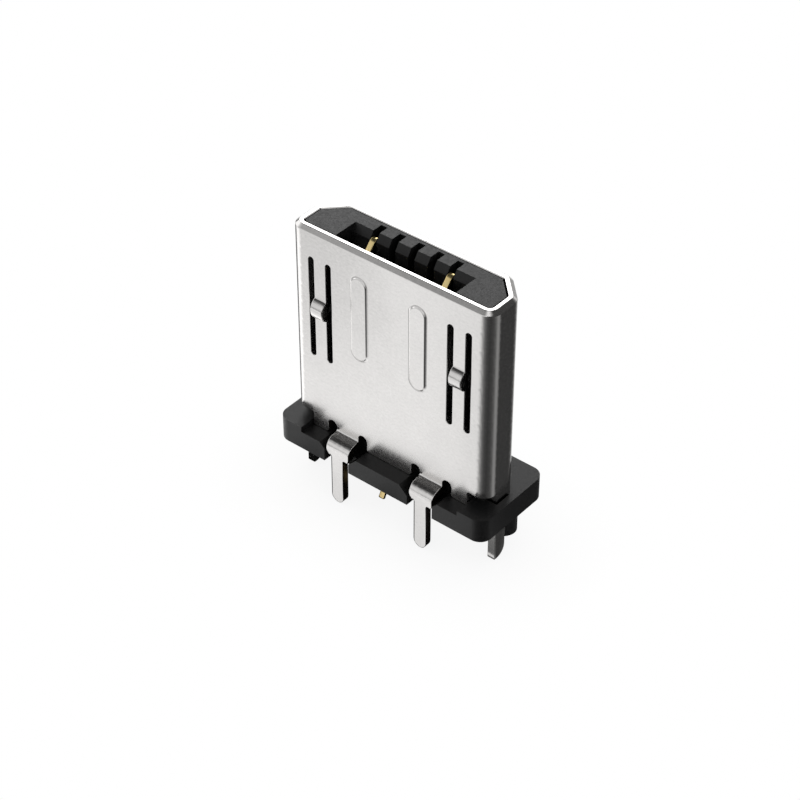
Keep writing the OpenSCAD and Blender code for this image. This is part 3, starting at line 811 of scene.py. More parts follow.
def folded(a, h, n):
    """A point of the sheet: a along the sheet from the middle of the front, h up the sheet, n out
    from its middle layer. Walls stand on the folded line; under their bend the front legs
    follow their own S; hooks and ribs push the faces out."""
    side = np.where(a < 0, -1.0, 1.0)
    place, way = around(np.abs(a))
    outside, inside = pressed(a, h)
    off = n + inside + (outside - inside) * (n / SHEET + 0.5)
    x = side * (place[:, 0] + off * np.sin(way))
    y = place[:, 1] - off * np.cos(way)
    leg = (np.abs(np.abs(a) - LEG_X) < LEG_W / 2 + 5 * NEAR) & (h < LEG_BEND_Z)
    run, lean = down_leg(np.where(leg, LEG_BEND_Z - h, 0.0))
    y = np.where(leg, WALL_Y - run[:, 1] - n * np.cos(lean), y)
    z = np.where(leg, LEG_BEND_Z - run[:, 0] + n * np.sin(lean), h)
    return np.column_stack((x, y, z))


crest = folded(np.array([LATCH_X]), np.array([HOOK_Z]), np.array([SHEET / 2]))
print("hook crest at", np.round(crest[0], 3).tolist())

# %% [markdown]
# ## The outline
#
# The punch cuts one closed line: down round the legs at the foot, up one side of the
# back seam with its dovetail, along the rim, and down the other side. Each corner
# of the line is a row of (along, up, corner radius). A drawing of straight sides and
# round corners is what a die maker would cut, so no other curve is needed.

# %% Foot of the sheet
CORNER_TRIM, FOOT_HALF = 1.05, SHELL_W / 2 - 0.665
RELIEF_W, RELIEF_TOP, RELIEF_FLARE = 0.3, 1.07, 0.1
SHOULDER_R, SIDE_TIP_R, NIP, SHOULDER_NIP = 0.035, 0.34, 0.03, 0.1
SIDE_LEG_Y, SIDE_LEG_W = -0.235, 0.45
SIDE_LEG_FROM = CORNER_TO + (SIDE_LEG_Y - SIDE_LEG_W / 2) - (WALL_Y + FRONT_R)
SIDE_LEG_TO = SIDE_LEG_FROM + SIDE_LEG_W

leg_tip, shoulder = leg_flat(-LEG_REACH), leg_flat(SHOULDER_Z)
leg_in, leg_out = LEG_X - LEG_W / 2, LEG_X + LEG_W / 2
foot = np.array(
    [
        (leg_in - RELIEF_W, STEP_H, RELIEF_FLARE),
        (leg_in - RELIEF_W, RELIEF_TOP, RELIEF_W / 2),
        (leg_in, RELIEF_TOP, RELIEF_W / 2),
        (leg_in, shoulder, SHOULDER_NIP),
        (LEG_X - PIN_W / 2, shoulder, SHOULDER_R),
        (LEG_X - PIN_W / 2, leg_tip, PIN_W / 2),
        (LEG_X + PIN_W / 2, leg_tip, PIN_W / 2),
        (LEG_X + PIN_W / 2, shoulder, SHOULDER_R),
        (leg_out, shoulder, SHOULDER_NIP),
        (leg_out, RELIEF_TOP, RELIEF_W / 2),
        (leg_out + RELIEF_W, RELIEF_TOP, RELIEF_W / 2),
        (leg_out + RELIEF_W, STEP_H, RELIEF_FLARE),
        (FOOT_HALF, STEP_H, NIP),
        (FOOT_HALF, CORNER_TRIM, NIP),
        (SIDE_LEG_FROM, CORNER_TRIM, NIP),
        (SIDE_LEG_FROM, -LEG_REACH, NIP),
        (SIDE_LEG_TO, -LEG_REACH, SIDE_TIP_R),
        (SIDE_LEG_TO, BASE_H, NIP),
    ]
)
print("corners at the foot of one half:", len(foot))

# %% Back seam with its dovetail
SEAM_GAP, RIM_GAP, SEAM_NIP = 0.012, 0.001, 0.012
LOCK_Z, LOCK_ROOT, LOCK_HEAD, LOCK_DEPTH = 4.2, 0.7, 1.0, 0.5


def mitred(line, distance):
    """A line moved to its right by a distance, with its corners kept."""
    step = np.diff(line, axis=0)
    step /= np.linalg.norm(step, axis=1, keepdims=True)
    right = np.column_stack((step[:, 1], -step[:, 0]))
    before, after = np.vstack((right[:1], right)), np.vstack((right, right[-1:]))
    return line + distance * (before + after) / (1 + (before * after).sum(1, keepdims=True))


seam = np.array(
    [
        (0.0, BASE_H),
        (0.0, LOCK_Z - LOCK_ROOT / 2),
        (LOCK_DEPTH, LOCK_Z - LOCK_HEAD / 2),
        (LOCK_DEPTH, LOCK_Z + LOCK_HEAD / 2),
        (0.0, LOCK_Z + LOCK_ROOT / 2),
        (0.0, SHELL_TOP),
    ]
)
right_seam, left_seam = mitred(seam, SEAM_GAP / 2), mitred(seam, -SEAM_GAP / 2)
right_seam[-1, 0], left_seam[-1, 0] = RIM_GAP / 2, -RIM_GAP / 2
left_seam = left_seam[::-1]
print("seam gap in mm:", SEAM_GAP, "closing to", RIM_GAP, "at the rim")

# %% Whole outline and the four slots
PIN_SHIFT = 0.03

nips = np.full(len(seam), SEAM_NIP)
sheet_outline = np.vstack(
    (
        foot,
        np.column_stack((HALF_ROUND - right_seam[:, 0], right_seam[:, 1], nips)),
        np.column_stack((-HALF_ROUND - left_seam[:, 0], left_seam[:, 1], nips)),
        foot[::-1] * (-1, 1, 1),
    )
)
on_pin = np.abs(np.abs(sheet_outline[:, 0]) - LEG_X) < PIN_W / 2 + NEAR
sheet_outline[on_pin & (sheet_outline[:, 1] < shoulder + NEAR), 0] -= PIN_SHIFT
slot_half, slot_r = (LATCH_W + LATCH_SLOT) / 2, LATCH_SLOT / 2
slot_box = np.array(
    [
        (-slot_r, LATCH_TOP - LATCH_LEN, slot_r),
        (-slot_r, LATCH_TOP, slot_r),
        (slot_r, LATCH_TOP, slot_r),
        (slot_r, LATCH_TOP - LATCH_LEN, slot_r),
    ]
)
slot_xs = [end * LATCH_X + side * slot_half for end in (-1, 1) for side in (-1, 1)]
slots = [slot_box + (x, 0.0, 0.0) for x in slot_xs]
print("outline corners:", len(sheet_outline), "slots at", np.round(slot_xs, 3).tolist())

# %% [markdown]
# ## Round corners and fine steps
#
# Before the outline is filled, each corner gets its arc, and the long sides are cut
# into steps: short ones where the sheet will bend, long ones where it stays flat.
# An even fine step everywhere would look the same and cost many more triangles.

# %% Round corners
ARC_STEPS, SAME_POINT = 9, 1e-5


def rounded(corners):
    """A closed outline with an arc in each corner: the arc touches both sides at a distance of
    radius times the tangent of half the turn."""
    p, r = corners[:, :2], corners[:, 2]
    before = p - np.roll(p, 1, axis=0)
    before /= np.linalg.norm(before, axis=1, keepdims=True)
    after = np.roll(p, -1, axis=0) - p
    after /= np.linalg.norm(after, axis=1, keepdims=True)
    across = before[:, 0] * after[:, 1] - before[:, 1] * after[:, 0]
    turn = np.arctan2(across, (before * after).sum(1))
    reach = r * np.tan(np.abs(turn) / 2)
    left = np.column_stack((-before[:, 1], before[:, 0])) * np.sign(turn)[:, None]
    centre = p - before * reach[:, None] + left * r[:, None]
    angle = turn[:, None] * np.linspace(0.0, 1.0, ARC_STEPS)
    arm = -left * r[:, None]
    side_arm = np.column_stack((-arm[:, 1], arm[:, 0]))
    cos, sin = np.cos(angle)[..., None], np.sin(angle)[..., None]
    line = (centre[:, None] + arm[:, None] * cos + side_arm[:, None] * sin).reshape(-1, 2)
    return line[np.linalg.norm(line - np.roll(line, 1, axis=0), axis=1) > SAME_POINT]


round_outlines = [rounded(corners) for corners in [sheet_outline] + slots]
print("points on the round outlines:", [len(line) for line in round_outlines])

# %% Fine steps
FLAT_STEP, CORNER_STEP, SLANT_STEP, PRESSED_STEP, BEND_MARGIN = 0.25, 0.03, 0.05, 0.02, 0.04
HOOK_SPAN, PROBES = 0.45, np.linspace(0.02, 0.98, 49)


def step_at(p):
    """Longest step that still looks smooth: short where the sheet bends, long where it is flat."""
    a, h = np.abs(p[:, 0]), p[:, 1]
    in_corner = (a > CORNER_FROM - BEND_MARGIN) & (a < CORNER_TO + BEND_MARGIN)
    in_slant = (a > SLANT_FROM - BEND_MARGIN) & (a < SLANT_TO + BEND_MARGIN)
    in_hook = (np.abs(a - LATCH_X) < LATCH_W / 2 + 2 * NEAR) & (np.abs(h - HOOK_Z) < HOOK_SPAN)
    in_leg = (np.abs(a - LEG_X) < LEG_W / 2 + 2 * NEAR) & (h < LEG_BEND_Z + 10 * NEAR) & (h > 0.0)
    step = np.where(in_corner, CORNER_STEP, FLAT_STEP)
    step = np.where(in_slant, SLANT_STEP, step)
    return np.where(in_hook | in_leg, PRESSED_STEP, step)


def stepped(line):
    """The same closed line with its long sides cut into even steps."""
    side = np.roll(line, -1, axis=0) - line
    length = np.linalg.norm(side, axis=1)
    probe = line[:, None] + side[:, None] * PROBES[None, :, None]
    finest = step_at(probe.reshape(-1, 2)).reshape(len(line), -1).min(1)
    count = np.maximum(1, np.ceil(length / finest)).astype(int)
    first = np.repeat(np.cumsum(count) - count, count)
    share = (np.arange(count.sum()) - first) / np.repeat(count, count)
    return np.repeat(line, count, axis=0) + np.repeat(side, count, axis=0) * share[:, None]


loops = [stepped(line) for line in round_outlines]
sizes = np.array([len(loop) for loop in loops])
starts = np.cumsum(sizes) - sizes
here = np.arange(sizes.sum())
ahead = np.concatenate([s + np.roll(np.arange(n), -1) for s, n in zip(starts, sizes)])
print("outline points:", sizes.tolist())

# %% [markdown]
# ## Cut edges
#
# A punched edge is never sharp: the plate rounds it a little on both faces, the
# punch rolls the legs' left edges over, and along the rim the sheet is bevelled so
# that the plug finds its socket. Each edge is seven rows of points from the outside
# face to the inside face. A Bevel modifier would round every edge by one amount and
# could not change from the round to the wide bevel along the way.

# %% Way into the sheet
def inward(line):
    """Direction into the sheet at each point of a closed outline that keeps the sheet on its
    left, stretched so that a moved outline stays parallel."""
    step = np.roll(line, -1, axis=0) - line
    step /= np.linalg.norm(step, axis=1, keepdims=True)
    left = np.column_stack((-step[:, 1], step[:, 0]))
    before = np.roll(left, 1, axis=0)
    return (before + left) / (1 + (before * left).sum(1, keepdims=True))


print("way in at the first point:", np.round(inward(loops[0])[0], 3).tolist())

# %% Radius of the rounds
EDGE_R, LEG_ROLL, SEAM_EDGE_R, ROLL_LEAD = 0.022, 0.085, 0.005, 0.15


def edge_radius(line, way):
    """Radius of the outside and the inside round: small along the seam, wide where a leg's left
    edge is rolled over."""
    by_seam = np.abs(line[:, 0]) > HALF_ROUND - LOCK_DEPTH - 5 * NEAR
    on_leg = np.abs(np.abs(line[:, 0]) - LEG_X) < LEG_W / 2 + NEAR
    under_s = smooth((LEG_BEND_Z - LEG_S - line[:, 1]) / ROLL_LEAD)
    rolled = on_leg * under_s * np.clip(0.5 + way[:, 0], 0.0, 1.0)
    plain = np.where(by_seam, SEAM_EDGE_R, EDGE_R)[:, None]
    return plain + (LEG_ROLL - plain) * rolled[:, None], plain


outer_rounds = edge_radius(loops[0], inward(loops[0]))[0]
print("rounds from", outer_rounds.min(), "to", round(float(outer_rounds.max()), 3), "mm")

# %% Rows around the edges
RIM_DEEP, RIM_HIGH, RIM_LEAD, RIM_SOFT = 0.12, 0.11, 0.25, 0.008
RIM_IN_DEEP, RIM_IN_HIGH = 0.022, 0.05
OUT_TURN, IN_TURN = np.radians((90, 60, 30, 0)), np.radians((0, 45, 90))
SOFT_DEEP = RIM_SOFT * RIM_DEEP / RIM_HIGH
RIM_DOWN = np.array(
    (RIM_HIGH + RIM_SOFT, RIM_HIGH - RIM_SOFT, RIM_HIGH / 2, RIM_SOFT)
    + (0.0, RIM_SOFT, RIM_IN_HIGH)
)
RIM_BACK = np.array(
    (0.0, SOFT_DEEP, RIM_DEEP / 2, RIM_DEEP - SOFT_DEEP)
    + (RIM_DEEP + RIM_SOFT, SHEET - RIM_IN_DEEP, SHEET)
)


def edge_rows(line):
    """Rows of points around the cut edge, from the outside face to the inside face. A round sets
    a point in by r (1 - cos t) and back from the face by r (1 - sin t); on the rim the rows go
    over into a bevel that drops straight down and back in straight steps."""
    half, way = SHEET / 2, inward(line)
    outer, inner = edge_radius(line, way)
    round_in = np.hstack((outer * (1 - np.cos(OUT_TURN)), inner * (1 - np.cos(IN_TURN))))
    out_n = half - outer * (1 - np.sin(OUT_TURN))
    in_n = inner * (1 - np.sin(IN_TURN)) - half
    on_rim = np.clip(1 - (SHELL_TOP - line[:, 1]) / RIM_LEAD, 0.0, 1.0)[:, None]
    a = line[:, :1] + way[:, :1] * round_in
    h = line[:, 1:] + way[:, 1:] * round_in * (on_rim == 0) - RIM_DOWN * on_rim
    n = np.hstack((out_n, in_n)) * (1 - on_rim) + (half - RIM_BACK) * on_rim
    return np.stack((a, h), axis=-1), n


edges = [edge_rows(loop) for loop in loops]
edge_flat, edge_n = (np.vstack([edge[k] for edge in edges]) for k in (0, 1))
print("edge points by rows:", edge_n.shape)

# %% [markdown]
# ## Filling the sheet
#
# Both faces are filled with triangles between their own edge rows, through points
# that lie close where the sheet bends or rises. A grid laid over the pattern would
# leave steps along every slot, so the triangles are found by Blender's constrained
# Delaunay fill, which keeps the edges and takes the points as they come.

# %% Rings around a rib
RING_INSETS = np.array(
    (-0.08, -0.044, -0.036, -0.028, -0.02, -0.013, -0.006)
    + (0, 0.01, 0.02, 0.03, 0.04, 0.05, 0.06, 0.09)
)
RING_ARC, RING_SIDE = 37, 41


def rib_rings():
    """Obround lines around a rib, close on its flank: half circles joined by straight sides."""
    turn = np.linspace(0, math.pi, RING_ARC)
    half = (RIB_LEN - RIB_W) / 2
    sides = np.linspace(half, -half, RING_SIDE)[1:-1]
    cos, sin, one = np.cos(turn), np.sin(turn), np.ones(len(sides))
    line = np.vstack(
        (
            np.column_stack((cos, sin, np.full(RING_ARC, half))),
            np.column_stack((-one, 0 * one, sides)),
            np.column_stack((-cos, -sin, np.full(RING_ARC, -half))),
            np.column_stack((one, 0 * one, sides[::-1])),
        )
    )
    radius = RIB_W / 2 - RING_INSETS[:, None]
    rings = np.stack((radius * line[:, 0], radius * line[:, 1] + line[:, 2]), axis=-1)
    return rings.reshape(-1, 2) + (RIB_X, RIB_Z)


print("points around a rib:", len(rib_rings()))

# %% Points inside the sheet
COARSE, COARSE_FROM, COARSE_LOW, UP_STEP, FINE_STEP = 0.2, 0.05, -1.45, 0.12, 0.0125
RIB_BAND, RIB_CLEAR, BEND_LEAD = 0.025, 0.12, 0.03
FRONT_LINES, BACK_LINES, FRONT_FOOT, BACK_FOOT = 19, 11, 1.1, 0.8
HOOK_BELOW, HOOK_ABOVE, HOOK_HALF, HOOK_LINES = 0.42, 0.36, 0.16, 6
LEG_BELOW, LEG_ABOVE, LEG_HALF, LEG_LINES = 0.03, 0.05, 0.36, 9


def lattice(a, h):
    """All crossings of two sets of lines."""
    aa, hh = np.meshgrid(a, h)
    return np.column_stack((aa.ravel(), hh.ravel()))


def bend_lines(start, end, count, low):
    """Upright lines close together over a bend."""
    across = np.linspace(start - BEND_LEAD, end + BEND_LEAD, count)
    return lattice(across, np.arange(low, SHELL_TOP, UP_STEP))


wide = lattice(
    np.arange(COARSE_FROM, HALF_ROUND + LOCK_DEPTH, COARSE),
    np.arange(COARSE_LOW, SHELL_TOP, COARSE),
)
wide = wide[np.abs(rib_inset(wide[:, 0], wide[:, 1]) - RIB_BAND) > RIB_CLEAR]
hook_hs = np.arange(HOOK_Z - HOOK_BELOW, HOOK_Z + HOOK_ABOVE, FINE_STEP)
leg_hs = np.arange(LEG_BEND_Z - LEG_S - LEG_BELOW, LEG_BEND_Z + LEG_ABOVE, FINE_STEP)
half_side = np.vstack(
    (
        wide,
        bend_lines(CORNER_FROM, CORNER_TO, FRONT_LINES, FRONT_FOOT),
        bend_lines(SLANT_FROM, SLANT_FROM + BACK_BEND, BACK_LINES, BACK_FOOT),
        bend_lines(SLANT_TO - BACK_BEND, SLANT_TO, BACK_LINES, BACK_FOOT),
        lattice(LATCH_X + np.linspace(-HOOK_HALF, HOOK_HALF, HOOK_LINES), hook_hs),
        lattice(LEG_X + np.linspace(-LEG_HALF, LEG_HALF, LEG_LINES), leg_hs),
        rib_rings(),
    )
)
inside_points = np.vstack((half_side, half_side * (-1, 1)))
print("points offered:", len(inside_points))

# %% Which points keep clear of a line
BLOCKS, NO_RUN = 100, 1e-12


def clear_of(points, line, gap):
    """Which points keep a gap from a closed line, and which lie inside it (by the number of sides
    that an upright ray crosses). Points are taken in blocks along the sheet, each against the
    sides that it can meet."""
    clear, within = np.ones(len(points), bool), np.zeros(len(points), bool)
    after = np.roll(line, -1, axis=0)
    side_low, side_high = np.minimum(line, after)[:, 0], np.maximum(line, after)[:, 0]
    for block in np.array_split(np.argsort(points[:, 0]), BLOCKS):
        p = points[block]
        met = (side_high > p[:, 0].min() - gap) & (side_low < p[:, 0].max() + gap)
        start, side = line[met], (after - line)[met]
        rel = p[:, None] - start[None]
        share = np.clip((rel * side).sum(2) / (side * side).sum(1), 0, 1)
        off = np.linalg.norm(rel - share[..., None] * side, axis=2)
        clear[block] = off.min(1, initial=1.0) > gap
        spans = (rel[..., 0] >= 0) != (rel[..., 0] - side[:, 0] >= 0)
        run = np.where(np.abs(side[:, 0]) < NO_RUN, 1.0, side[:, 0])
        above = rel[..., 0] / run * side[:, 1] - rel[..., 1] > 0
        within[block] = (spans & above).sum(1) % 2 == 1
    return clear, within


_, in_sheet = clear_of(inside_points, loops[0], 0.0)
print("points inside the outline:", int(in_sheet.sum()))

# %% Triangles on both faces
EDGE_CLEAR, POINT_DIGITS, FILL_EPSILON = 0.009, 5, 1e-7


def filled(row, turns_left):
    """Triangles over the sheet, bounded by one row of edge points, through the inner points that
    keep clear of it, all turning one way. The first points are the edge's own, in their order."""
    border = edge_flat[:, row]
    lines = [border[start : start + size] for start, size in zip(starts, sizes)]
    keep = np.ones(len(inside_points), bool)
    for k, line in enumerate(lines):
        clear, within = clear_of(inside_points, line, EDGE_CLEAR)
        keep &= clear & (within == (k == 0))
    inner = np.unique(np.round(inside_points[keep], POINT_DIGITS), axis=0)
    points = np.vstack((border, inner))
    sides = np.column_stack((here, ahead)).tolist()
    found = delaunay_2d_cdt(points.tolist(), sides, [], 1, FILL_EPSILON)
    faces = np.array(found[3])[:, 0][np.array(found[2])]
    middle = points[faces].mean(1)
    for k, line in enumerate(lines):
        _, within = clear_of(middle, line, 0.0)
        faces, middle = faces[within == (k == 0)], middle[within == (k == 0)]
    p, q, r = (points[faces[:, k]] for k in range(3))
    area = (q[:, 0] - p[:, 0]) * (r[:, 1] - p[:, 1]) - (q[:, 1] - p[:, 1]) * (r[:, 0] - p[:, 0])
    wrong = (area > 0) != turns_left
    faces[wrong] = faces[wrong][:, ::-1]
    return points, faces


outside_flat, outside_faces = filled(0, True)
inside_flat, inside_faces = filled(-1, False)
print("outside:", len(outside_faces), "triangles, inside:", len(inside_faces))

# %% [markdown]
# ## Sewing and folding
#
# The two faces share their outer rows with the edge strips, so the sheet is one
# closed skin. All of its points go through the fold in one call. A Solidify
# modifier could have given the thickness, but not an inside face that differs from
# the outside one, as under the hooks and ribs.

# %% Points and strips
n_edge, n_out, n_in, n_rows = len(here), len(outside_flat), len(inside_flat), edge_n.shape[1]
between_rows = edge_flat[:, 1:-1].transpose(1, 0, 2).reshape(-1, 2)
flat_all = np.vstack((outside_flat, inside_flat, between_rows))
depth_all = np.concatenate(
    (np.full(n_out, SHEET / 2), np.full(n_in, -SHEET / 2), edge_n[:, 1:-1].T.ravel())
)
row_start = [0] + [n_out + n_in + k * n_edge for k in range(n_rows - 2)] + [n_out]
strips = np.stack(
    [
        np.column_stack((upper + ahead, upper + here, lower + here, lower + ahead))
        for upper, lower in zip(row_start[:-1], row_start[1:])
    ]
)
wall_quads = strips.reshape(-1, 4)
face_triangles = np.vstack((outside_faces, inside_faces + n_out))
shell_points = folded(flat_all[:, 0], flat_all[:, 1], depth_all)
print("folded points:", len(shell_points), "edge quads:", len(wall_quads))

# %% [markdown]
# ## Shading directions
#
# A flat wall should shade flat right up to its edge, and only the narrow rounds
# should turn. Blender's smooth shading would tilt the wall's last points too, and a
# shiny wall shows that at once. So the directions are set here: broad faces have
# the say over the rounds beside them, and along the rim each strip of the bevel
# keeps its own, so that the bevel reads as a crisp band.

# %% Directions at the points
FACE_WEIGHT, EDGE_WEIGHT, NO_LENGTH = 1000.0, 1.0, 1e-12


def halved(quads):
    """Two triangles for each quad."""
    return np.vstack((quads[:, [0, 1, 2]], quads[:, [0, 2, 3]]))


def even_normals(points, *groups):
    """Direction at each point: the mean of its triangles' own directions by area, where each
    group is (triangles, weight)."""
    total = np.zeros_like(points)
    for triangles, weight in groups:
        p, q, r = (points[triangles[:, k]] for k in range(3))
        own = np.cross(q - p, r - p) * weight
        for k in range(3):
            np.add.at(total, triangles[:, k], own)
    return total / np.maximum(np.linalg.norm(total, axis=1, keepdims=True), NO_LENGTH)


shell_normals = even_normals(
    shell_points, (face_triangles, FACE_WEIGHT), (halved(wall_quads), EDGE_WEIGHT)
)
on_rim = edge_flat[:, 4, 1] > SHELL_TOP - NEAR
crisp = np.tile(on_rim & on_rim[ahead], n_rows - 1)[:, None, None]
own = [even_normals(shell_points, (halved(strip), 1.0))[strip] for strip in strips]
wall_normals = np.where(crisp, np.concatenate(own), shell_normals[wall_quads])
face_normals = shell_normals[face_triangles]
corner_normals = np.vstack((face_normals.reshape(-1, 3), wall_normals.reshape(-1, 3)))
print("rim points with a crisp bevel:", int(on_rim.sum()))

# %% The shell
def made_mesh(name, points, triangles, quads, material, normals, uv=None):
    """A mesh object from whole arrays; points in mm, triangles and quads as point numbers, and
    directions for the shading by point, or by corner of each face."""
    mesh = bpy.data.meshes.new(name)
    corners = np.concatenate((triangles.ravel(), quads.ravel())).astype(np.int32)
    size = np.repeat((3, 4), (len(triangles), len(quads))).astype(np.int32)
    mesh.vertices.add(len(points))
    mesh.vertices.foreach_set("co", (points * MM).astype(np.float32).ravel())
    mesh.loops.add(len(corners))
    mesh.loops.foreach_set("vertex_index", corners)
    mesh.polygons.add(len(size))
    mesh.polygons.foreach_set("loop_start", (np.cumsum(size) - size).astype(np.int32))
    mesh.polygons.foreach_set("loop_total", size)
    mesh.update(calc_edges=True)
    mesh.polygons.foreach_set("use_smooth", np.ones(len(size), bool))
    if uv is not None:
        layer = mesh.uv_layers.new(name="sheet")
        layer.data.foreach_set("uv", uv[corners].astype(np.float32).ravel())
    mesh.validate()
    by_corner = normals if len(normals) == len(corners) else normals[corners]
    mesh.normals_split_custom_set(by_corner.tolist())
    mesh.materials.append(material)
    made = bpy.data.objects.new(name, mesh)
    scene.collection.objects.link(made)
    return made


shell = made_mesh(
    "folded_shell", shell_points, face_triangles, wall_quads, nickel, corner_normals, flat_all
)
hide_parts("shell")
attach(shell, "root")
print("folded shell:", len(shell.data.polygons), "faces")

# %% [markdown]
# ## Marks on the sheet
#
# The finish asks where the sheet was worked, torn or dulled, and where its cut edges
# are painted with shade. That is known best in the flat pattern, so each mark is
# worked out there, point by point, and kept on the mesh. Painting masks by hand would
# not follow when a size changes.

# %% Marks on the sheet
S_FADE, HOOK_FADE, DULL_TOP, DULL_RUN = 0.1, 0.15, 2.0, 1.0
TORN_SHADE_TOP, TORN_SHADE_HALF = 1.15, FOOT_HALF - 0.2


def keep_mark(name, values):
    """A number for each point of the shell, kept on its mesh by name."""
    mark = shell.data.attributes.new(name, "FLOAT", "POINT")
    mark.data.foreach_set("value", values.astype(np.float32))
    return int((values > 0).sum())


across, up = np.abs(flat_all[:, 0]), flat_all[:, 1]
on_leg = np.abs(across - LEG_X) < LEG_W / 2 + NEAR
s_top, s_foot = LEG_BEND_Z + S_FADE / 2, LEG_BEND_Z - LEG_S - S_FADE
on_s = on_leg * smooth((s_top - up) / S_FADE) * smooth((up - s_foot) / (2 * S_FADE))
on_hook = np.abs(across - LATCH_X) < LATCH_W / 2 + 3 * NEAR
on_hook = on_hook * smooth((HOOK_SPAN - np.abs(up - HOOK_Z)) / HOOK_FADE)
on_wall = ~(on_leg & (up < s_top)) & (across < FOOT_HALF + 5 * NEAR)
# The middle rows of the cut edge, low on the front legs, take painted shade and a rougher tear.
shaded_cut_rows = np.zeros((n_rows - 2, n_edge))
cut = edge_flat[:, 3]
shaded_cut_rows[2:4] = (cut[:, 1] < TORN_SHADE_TOP) & (np.abs(cut[:, 0]) < TORN_SHADE_HALF)
marked = {
    "worked": keep_mark("worked", np.maximum(on_s, on_hook)),
    "dulled": keep_mark("dulled", smooth((DULL_TOP - up) / DULL_RUN) * on_wall),
    "torn_and_shaded": keep_mark("torn_and_shaded", np.concatenate((np.zeros(n_out + n_in), shaded_cut_rows.ravel()))),
}
print("marked points:", marked)

# %% [markdown]
# ## The contacts
#
# Each contact is a narrow gold-plated spring strip, punched and bent, with barbs
# that bite into the moulding. The outer two reach higher and meet the socket first.
# A contact is a small rounded section carried along its bent line, wider at the
# barbs. A curve with a bevel would twist at the bends; here the section always
# stays square to the strip.

# %% The line of a bent strip
CONTACT_W, CONTACT_T, CONTACT_EDGE = 0.18, 0.11, 0.022
CONTACT_R = 0.1 + CONTACT_T / 2
ARC_POINTS, RUN_POINTS = 13, 5


def strip_line(corners, radius):
    """Runs of a bent strip through corner points: straight lengths, and arcs of one radius that
    round each corner. Returns the line, its length, and where along it points are wanted."""
    p = np.array(corners)
    step = np.diff(p, axis=0)
    length = np.linalg.norm(step, axis=1)
    way = np.unwrap(np.arctan2(step[:, 1], step[:, 0]))
    turn = np.diff(way)
    taken = radius * np.tan(np.abs(turn) / 2)
    straight = length - np.concatenate(([0.0], taken)) - np.concatenate((taken, [0.0]))
    runs = [(straight[0], 0.0)]
    for k in range(len(turn)):
        runs += [(radius * abs(turn[k]), turn[k]), (straight[k + 1], 0.0)]
    at, total = bent_path(runs, p[0], way[0])
    ends = np.cumsum([0.0] + [run[0] for run in runs])
    wanted = [
        np.linspace(a, b, ARC_POINTS if run[1] else RUN_POINTS)
        for a, b, run in zip(ends[:-1], ends[1:], runs)
    ]
    return at, total, np.unique(np.round(np.concatenate(wanted), 6))


_, bent_length, _ = strip_line([(0.0, 0.0), (0.0, 1.0), (1.0, 1.0)], CONTACT_R)
print("two runs of 1 mm with a bend between them:", round(bent_length, 3), "mm of strip")

# %% The contacts' own lines
STEM_Y, FORWARD_Y, TAIL_TIP, TAIL_Z = 0.45, -0.32, -1.38, 0.36
STEM_TOP, CREST_Y, CREST_RISE, TIP_Y, TIP_RUN = SHELL_TOP - 2.9, -0.27, 0.37, 0.08, 0.1
LONG_TIP, SHORT_TIP = SHELL_TOP - 0.24, SHELL_TOP - 0.92
KICK, KICK_LEN, KICK_UP = 0.12, 0.26, 0.04


def contact_corners(number):
    """Corners of a contact's line from tail to tip: 1 and 5 are long, 2 and 4 have their tails
    led forward, with the ends bent out a little."""
    tip = LONG_TIP if number in (1, 5) else SHORT_TIP
    tail = [(STEM_Y, TAIL_TIP)]
    if number % 2 == 0:
        bent_out = (FORWARD_Y - KICK, TAIL_TIP + KICK_UP)
        tail = [bent_out, (FORWARD_Y, TAIL_TIP + KICK_LEN), (FORWARD_Y, TAIL_Z), (STEM_Y, TAIL_Z)]
    crest = (CREST_Y, tip - CREST_RISE)
    return tail + [(STEM_Y, STEM_TOP), crest, (TIP_Y, tip), (TIP_Y + TIP_RUN, tip)]


lengths = [strip_line(contact_corners(number), CONTACT_R)[1] for number in range(1, 6)]
print("contact lengths in mm:", np.round(lengths, 2).tolist())

# %% Barbs
BARB_W, BARB_FROM, BARB_TO, BARB_STEP, BARB_RAMP = 0.34, 1.0, 1.7, 0.004, 0.2
BARB_EASE, BARB_FOOT, BARB_END, STEM_PROBES, ON_LINE = 0.03, 0.02, 0.03, 2001, 1e-6


def half_widths(at, total):
    """Lengths along a contact where its barbs change, and the half width at each."""
    fine = np.linspace(0.0, total, STEM_PROBES)
    place = at(fine)[0]
    on_stem = np.abs(place[:, 0] - STEM_Y) < ON_LINE
    heights = (BARB_FROM, BARB_FROM + BARB_EASE, BARB_TO - BARB_RAMP, BARB_TO)
    a, b, c, d = np.interp(heights, place[on_stem, 1], fine[on_stem])
    plain, full = CONTACT_W / 2, BARB_W / 2
    lengths = np.array((a - BARB_STEP, a, b, c, d, d + BARB_STEP))
    return lengths, np.array((plain, full - BARB_FOOT, full, full, plain + BARB_END, plain))


line_1, length_1, _ = strip_line(contact_corners(1), CONTACT_R)
print("barbs of contact 1 along its line:", half_widths(line_1, length_1)[0].round(3).tolist())

# %% A section carried along the line
END_POINT, ARC_CORNERS = 0.006, 4
FLIP = np.array(((1, 1), (-1, 1), (-1, -1), (1, -1)))


